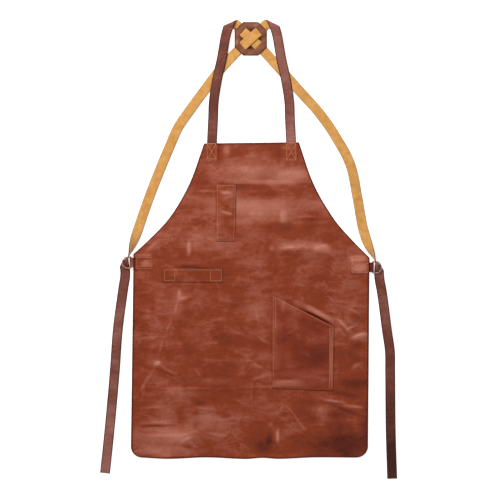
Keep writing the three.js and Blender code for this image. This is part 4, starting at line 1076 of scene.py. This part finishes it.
def thicken_patch(mesh):
    """Lifts the flat mesh to the patch's top and adds the underside and the cut edges."""
    xy = np.array([v.co[:2] for v in mesh.verts])
    x, y = xy[:, 0], xy[:, 1]
    relief = 0.25 * noise(x, y, 14, 9, 30, 71) + 0.12 * noise(x, y, 6, 4, 0, 72)
    for v, low_z, fine in zip(mesh.verts, patch_lift(x, y), relief):
        v.co.z = low_z + PATCH_THICKNESS + fine
    top_faces = mesh.faces[:]
    for face in top_faces:
        face.smooth = True
    copy = bmesh.ops.duplicate(mesh, geom=top_faces)
    lower = [g for g in copy["geom"] if isinstance(g, bmesh.types.BMVert)]
    lower_faces = [g for g in copy["geom"] if isinstance(g, bmesh.types.BMFace)]
    for v in lower:
        v.co.z = float(patch_lift(np.array(v.co.x), np.array(v.co.y)))
    bmesh.ops.reverse_faces(mesh, faces=lower_faces)
    for face in lower_faces:
        face.material_index = LOWER_FACE

    def plan_key(v):
        return round(v.co.x, 4), round(v.co.y, 4)

    below = {plan_key(v): v for v in lower}
    for edge in [e for f in top_faces for e in f.edges if len(e.link_faces) == 1]:
        loop = edge.link_loops[0]
        a, b = loop.vert, loop.link_loop_next.vert
        face = mesh.faces.new((b, a, below[plan_key(a)], below[plan_key(b)]))
        face.material_index = CUT_FACE
        face.smooth = False


# Painted shade darkens the patch at its middle and at its notches between the straps; along its cut
# edge it is darker, partly the edge's own colour and partly painted shadow.
PATCH_SHADE, PATCH_SHADE_REACH = 2.4, 28
NOTCH_SHADE, NOTCH_DISTANCE, NOTCH_REACH = 1.0, 22, 11
PATCH_EDGE_SHADE, PATCH_EDGE_REACH = 2.0, 3.2


def patch_tone(plan):
    half_w, half_h = PATCH_WIDTH / 2, PATCH_HEIGHT / 2
    across, up = np.abs(plan[:, 0]), np.abs(plan[:, 1])
    corner = (half_w + half_h - PATCH_CUT - across - up) / math.sqrt(2)
    from_edge = np.minimum(np.minimum(half_w - across, half_h - up), corner)
    away = np.hypot(across, up)
    notches = np.cos(2 * np.arctan2(up, across)) ** 2
    return (-PATCH_SHADE * bell(away / PATCH_SHADE_REACH)
            - NOTCH_SHADE * notches * bell((away - NOTCH_DISTANCE) / NOTCH_REACH)
            - PATCH_EDGE_SHADE * (1 - smooth(from_edge / PATCH_EDGE_REACH)))


def make_patch():
    mesh = bmesh.new()
    patch_outline(mesh)
    for turn in SLIT_TURNS:
        cut_slit(mesh, turn)
    bmesh.ops.recalc_face_normals(mesh, faces=mesh.faces)
    if sum(f.normal.z for f in mesh.faces) < 0:
        bmesh.ops.reverse_faces(mesh, faces=mesh.faces)
    thicken_patch(mesh)
    for v in mesh.verts:
        v.co = Vector(put((v.co.x + PATCH_X, v.co.y + PATCH_Y, v.co.z)))
    data = bpy.data.meshes.new("cross_patch_leather")
    mesh.to_mesh(data)
    mesh.free()
    middle = Vector(put((PATCH_X, PATCH_Y, 0)))
    add_tone(data, patch_tone(np.array([(v.co - middle)[:2] for v in data.vertices]) * 1000))
    for material in (PATCH_GRAIN, SUEDE, DARK_EDGE):
        data.materials.append(material)
    dress(placed("cross_patch_leather", data), "cross_patch")


def turned_about_x(points, degrees):
    a = math.radians(degrees)
    x, y, z = points[..., 0], points[..., 1], points[..., 2]
    return np.stack([x, y * math.cos(a) - z * math.sin(a), y * math.sin(a) + z * math.cos(a)], -1)


def fastening(points, side, name):
    """From the ring's own frame, bow outwards, to the plan."""
    bow_x, bow_y = ring_place(side, name)
    sign = np.array([side, side, 1])
    return points * sign + np.array([bow_x, bow_y, BAR_LEVEL])


WIRE_SIDES = 16


def make_ring(side, name):
    stations = []

    def arc(cx, cy, radius, start, end, steps):
        for angle in np.radians(np.linspace(start, end, steps + 1)):
            out = np.array([math.cos(angle), math.sin(angle), 0])
            stations.append((np.array([cx, cy, 0]) + out * radius, out))

    arc(0, 0, BOW_RADIUS, -90, 90, 40)
    arc(RING_CORNER - BAR_TO_BOW, BOW_RADIUS - RING_CORNER, RING_CORNER, 90, 180, 10)
    arc(RING_CORNER - BAR_TO_BOW, RING_CORNER - BOW_RADIUS, RING_CORNER, 180, 270, 10)
    angles = np.linspace(0, 2 * np.pi, WIRE_SIDES, endpoint=False)
    rings = np.array([[p + out * WIRE / 2 * math.cos(a) + np.array([0, 0, WIRE / 2 * math.sin(a)])
                       for a in angles] for p, out in stations])
    count = len(stations)
    points = fastening(turned_about_x(rings, -side * RING_TILT), side, name).reshape(-1, 3)
    faces = []
    for i in range(count):
        here, there = i * WIRE_SIDES, (i + 1) % count * WIRE_SIDES
        for n in range(WIRE_SIDES):
            m = (n + 1) % WIRE_SIDES
            faces.append((here + n, there + n, there + m, here + m))
    ring = make_object(f"d_ring_{name}_wire", put(points), faces, [WIRE_METAL])
    dress(ring, f"d_ring_{name}")


# How light each ring's leather strip is: painted light on the left strip, painted shade on the right
# one.
TAB_PAINTED_LIGHT_AND_SHADE = {"left": 1.1, "right": -0.9}
TAB_STATIONS, BEND_STATIONS, TAB_COLUMNS = 22, 30, 8


def make_tab(side, name):
    edge = -BAR_REACH[side] + CLEARANCE
    end = edge - TAB_LAP
    lower_z = TAB_THICKNESS / 2 - BAR_LEVEL
    upper_z = lower_z + TAB_THICKNESS + CLEARANCE

    def touch(z, sign):
        return math.atan2(z, edge) + sign * math.acos(TAB_BEND / math.hypot(edge, z))

    angles = np.linspace(touch(lower_z, 1), touch(upper_z, -1) + 2 * math.pi, BEND_STATIONS)
    profile = [(x, lower_z) for x in np.linspace(end, edge, TAB_STATIONS)]
    profile += [(TAB_BEND * math.cos(a), TAB_BEND * math.sin(a)) for a in angles]
    profile += [(x, upper_z) for x in np.linspace(edge, end, TAB_STATIONS)]
    ys = TAB_WIDTH * np.linspace(-0.5, 0.5, TAB_COLUMNS + 1)
    rows = []
    for x, z in profile:
        turned = float(smooth((x - edge) / (BAR_REACH[side] - TAB_LOOP)))
        turn = -side * math.radians(RING_TILT) * turned
        rows.append(np.stack([np.full(len(ys), x), ys * math.cos(turn) - z * math.sin(turn),
                              ys * math.sin(turn) + z * math.cos(turn)], -1))
    grid = np.array(rows)
    grid[..., 0] -= BAR_TO_BOW
    grid = fastening(grid, side, name)
    tone = 0.3 * noise(grid[..., 0], grid[..., 1], 12, 8, 0, 81) + TAB_PAINTED_LIGHT_AND_SHADE[name]
    tab = strap_piece(f"ring_tab_{name}_leather", grid, TAB_THICKNESS,
                      [PANEL_GRAIN, SUEDE, DARK_EDGE], grain_up=False, tone=tone)
    dress(tab, f"ring_tab_{name}")


# Stitches.

STITCH_PITCH, STITCH_LENGTH, THREAD_RADIUS, THREAD_SIDES = 4.2, 3.5, 0.6, 6
# Height of a stitch's middle above the leather, in radii.
STITCH_SEAT = 0.25
# Each row: place along the stitch, share of the thread's radius, height in radii.
STITCH_PROFILE = [(-0.5, 0.12, -0.35), (-0.36, 0.85, -0.05), (0.0, 1.0, 0.12),
                  (0.36, 0.85, -0.05), (0.5, 0.12, -0.35)]


def stitch_faces(first):
    """Faces of one stitch whose vertices start at a number."""
    faces = []
    around = range(THREAD_SIDES)
    for ring in range(len(STITCH_PROFILE) - 1):
        a = first + ring * THREAD_SIDES
        for k in around:
            m = (k + 1) % THREAD_SIDES
            faces.append((a + k, a + m, a + THREAD_SIDES + m, a + THREAD_SIDES + k))
    last = first + (len(STITCH_PROFILE) - 1) * THREAD_SIDES
    return faces + [tuple(first + k for k in reversed(around)), tuple(last + k for k in around)]


def stitch_mesh(name, lines, surface, thread):
    """One small thread lump for each stitch along straight seam lines."""
    points, faces = [], []
    for (x0, y0), (x1, y1) in lines:
        total = math.hypot(x1 - x0, y1 - y0)
        count = max(int(round(total / STITCH_PITCH)), 1)
        ux, uy = (x1 - x0) / total, (y1 - y0) / total
        middles = (np.arange(count) + 0.5) / count * total
        ends = [middles - STITCH_LENGTH / 2, middles + STITCH_LENGTH / 2]
        heights = [surface(x0 + ux * e, y0 + uy * e) for e in ends]
        for m, za, zb in zip(middles, *heights):
            faces += stitch_faces(len(points))
            for share, thick, up in STITCH_PROFILE:
                at = m + share * STITCH_LENGTH
                cx, cy = x0 + ux * at, y0 + uy * at
                cz = za + (zb - za) * (share + 0.5) + THREAD_RADIUS * (STITCH_SEAT + up)
                for k in range(THREAD_SIDES):
                    a = 2 * math.pi * k / THREAD_SIDES
                    side = THREAD_RADIUS * thick * math.cos(a)
                    high = THREAD_RADIUS * thick * math.sin(a)
                    points.append((cx - uy * side, cy + ux * side, cz + high))
    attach(make_object(name, put(points), faces, [thread]), "root")


make_panel()
pocket_seams = make_pen_pocket() + make_slant_pocket() + make_towel_loop()
make_strap("left", "right", LIP_LEVEL)
make_strap("right", "left", LIP_LEVEL + STRAP_THICKNESS + CLEARANCE)
make_patch()
for side, name in SIDES:
    make_ring(side, name)
    make_tab(side, name)
for name, lines, surface, thread in pocket_seams:
    stitch_mesh(name, lines, surface, thread)
for name, boxes in (("strap_end_stitches", STRAP_BOXES), ("ring_tab_stitches", TAB_BOXES)):
    stitch_mesh(name, [line for box in boxes for line in box], panel_top, THREAD)

# Floor, light and camera.

# Millimetres for one of the view's pixels, and the view's middle in the plan.
PIXEL, PIXELS = 2.53, 500
VIEW_X, VIEW_Y = (PIXELS / 2 - 251.5) * PIXEL, (459 - PIXELS / 2) * PIXEL
CAMERA_HEIGHT, SENSOR = 8.0, 36
FLOOR_REACH, FLOOR_DROP = 6, 0.0004


def make_floor():
    floor_material = Nodes("floor")
    for name, value in (("Base Color", (0.9, 0.9, 0.9, 1)), ("Roughness", 0.9),
                        ("Emission Color", (1, 1, 1, 1)), ("Emission Strength", 0.62)):
        floor_material.shader.inputs[name].default_value = value
    mesh = bpy.data.meshes.new("floor")
    corners = [(-1, -1), (1, -1), (1, 1), (-1, 1)]
    mesh.from_pydata([(x * FLOOR_REACH, y * FLOOR_REACH, 0) for x, y in corners], [],
                     [(0, 1, 2, 3)])
    mesh.materials.append(floor_material.material)
    floor = placed("floor", mesh)
    floor.location.z = -FLOOR_DROP


def make_world():
    world = bpy.data.worlds.new("studio")
    bpy.context.scene.world = world
    world.use_nodes = True
    background = world.node_tree.nodes["Background"]
    background.inputs["Color"].default_value = (1, 1, 1, 1)
    background.inputs["Strength"].default_value = 0.36
    bpy.context.scene.view_settings.view_transform = "Standard"


def softbox(name, location, size, power):
    """A lamp that is aimed at the frame's origin."""
    data = bpy.data.lights.new(name, "AREA")
    data.shape = "RECTANGLE"
    data.size, data.size_y = size
    data.energy = power
    obj = placed(name, data)
    obj.location = location
    obj.rotation_mode = "QUATERNION"
    obj.rotation_quaternion = (-Vector(location)).to_track_quat("-Z", "Y")


def make_camera():
    data = bpy.data.cameras.new("camera")
    data.sensor_width = SENSOR
    data.lens = SENSOR * CAMERA_HEIGHT * 1000 / (PIXELS * PIXEL)
    data.clip_end = 100
    camera = placed("camera", data)
    camera.location = Vector(put((VIEW_X, VIEW_Y, 0))) + Vector((0, 0, CAMERA_HEIGHT))
    bpy.context.scene.camera = camera


make_floor()
make_world()
softbox("key", (-1.1, 1.9, 2.2), (1.0, 0.7), 66)
softbox("fill", (1.6, -1.4, 2.2), (1.4, 1.4), 8)
make_camera()
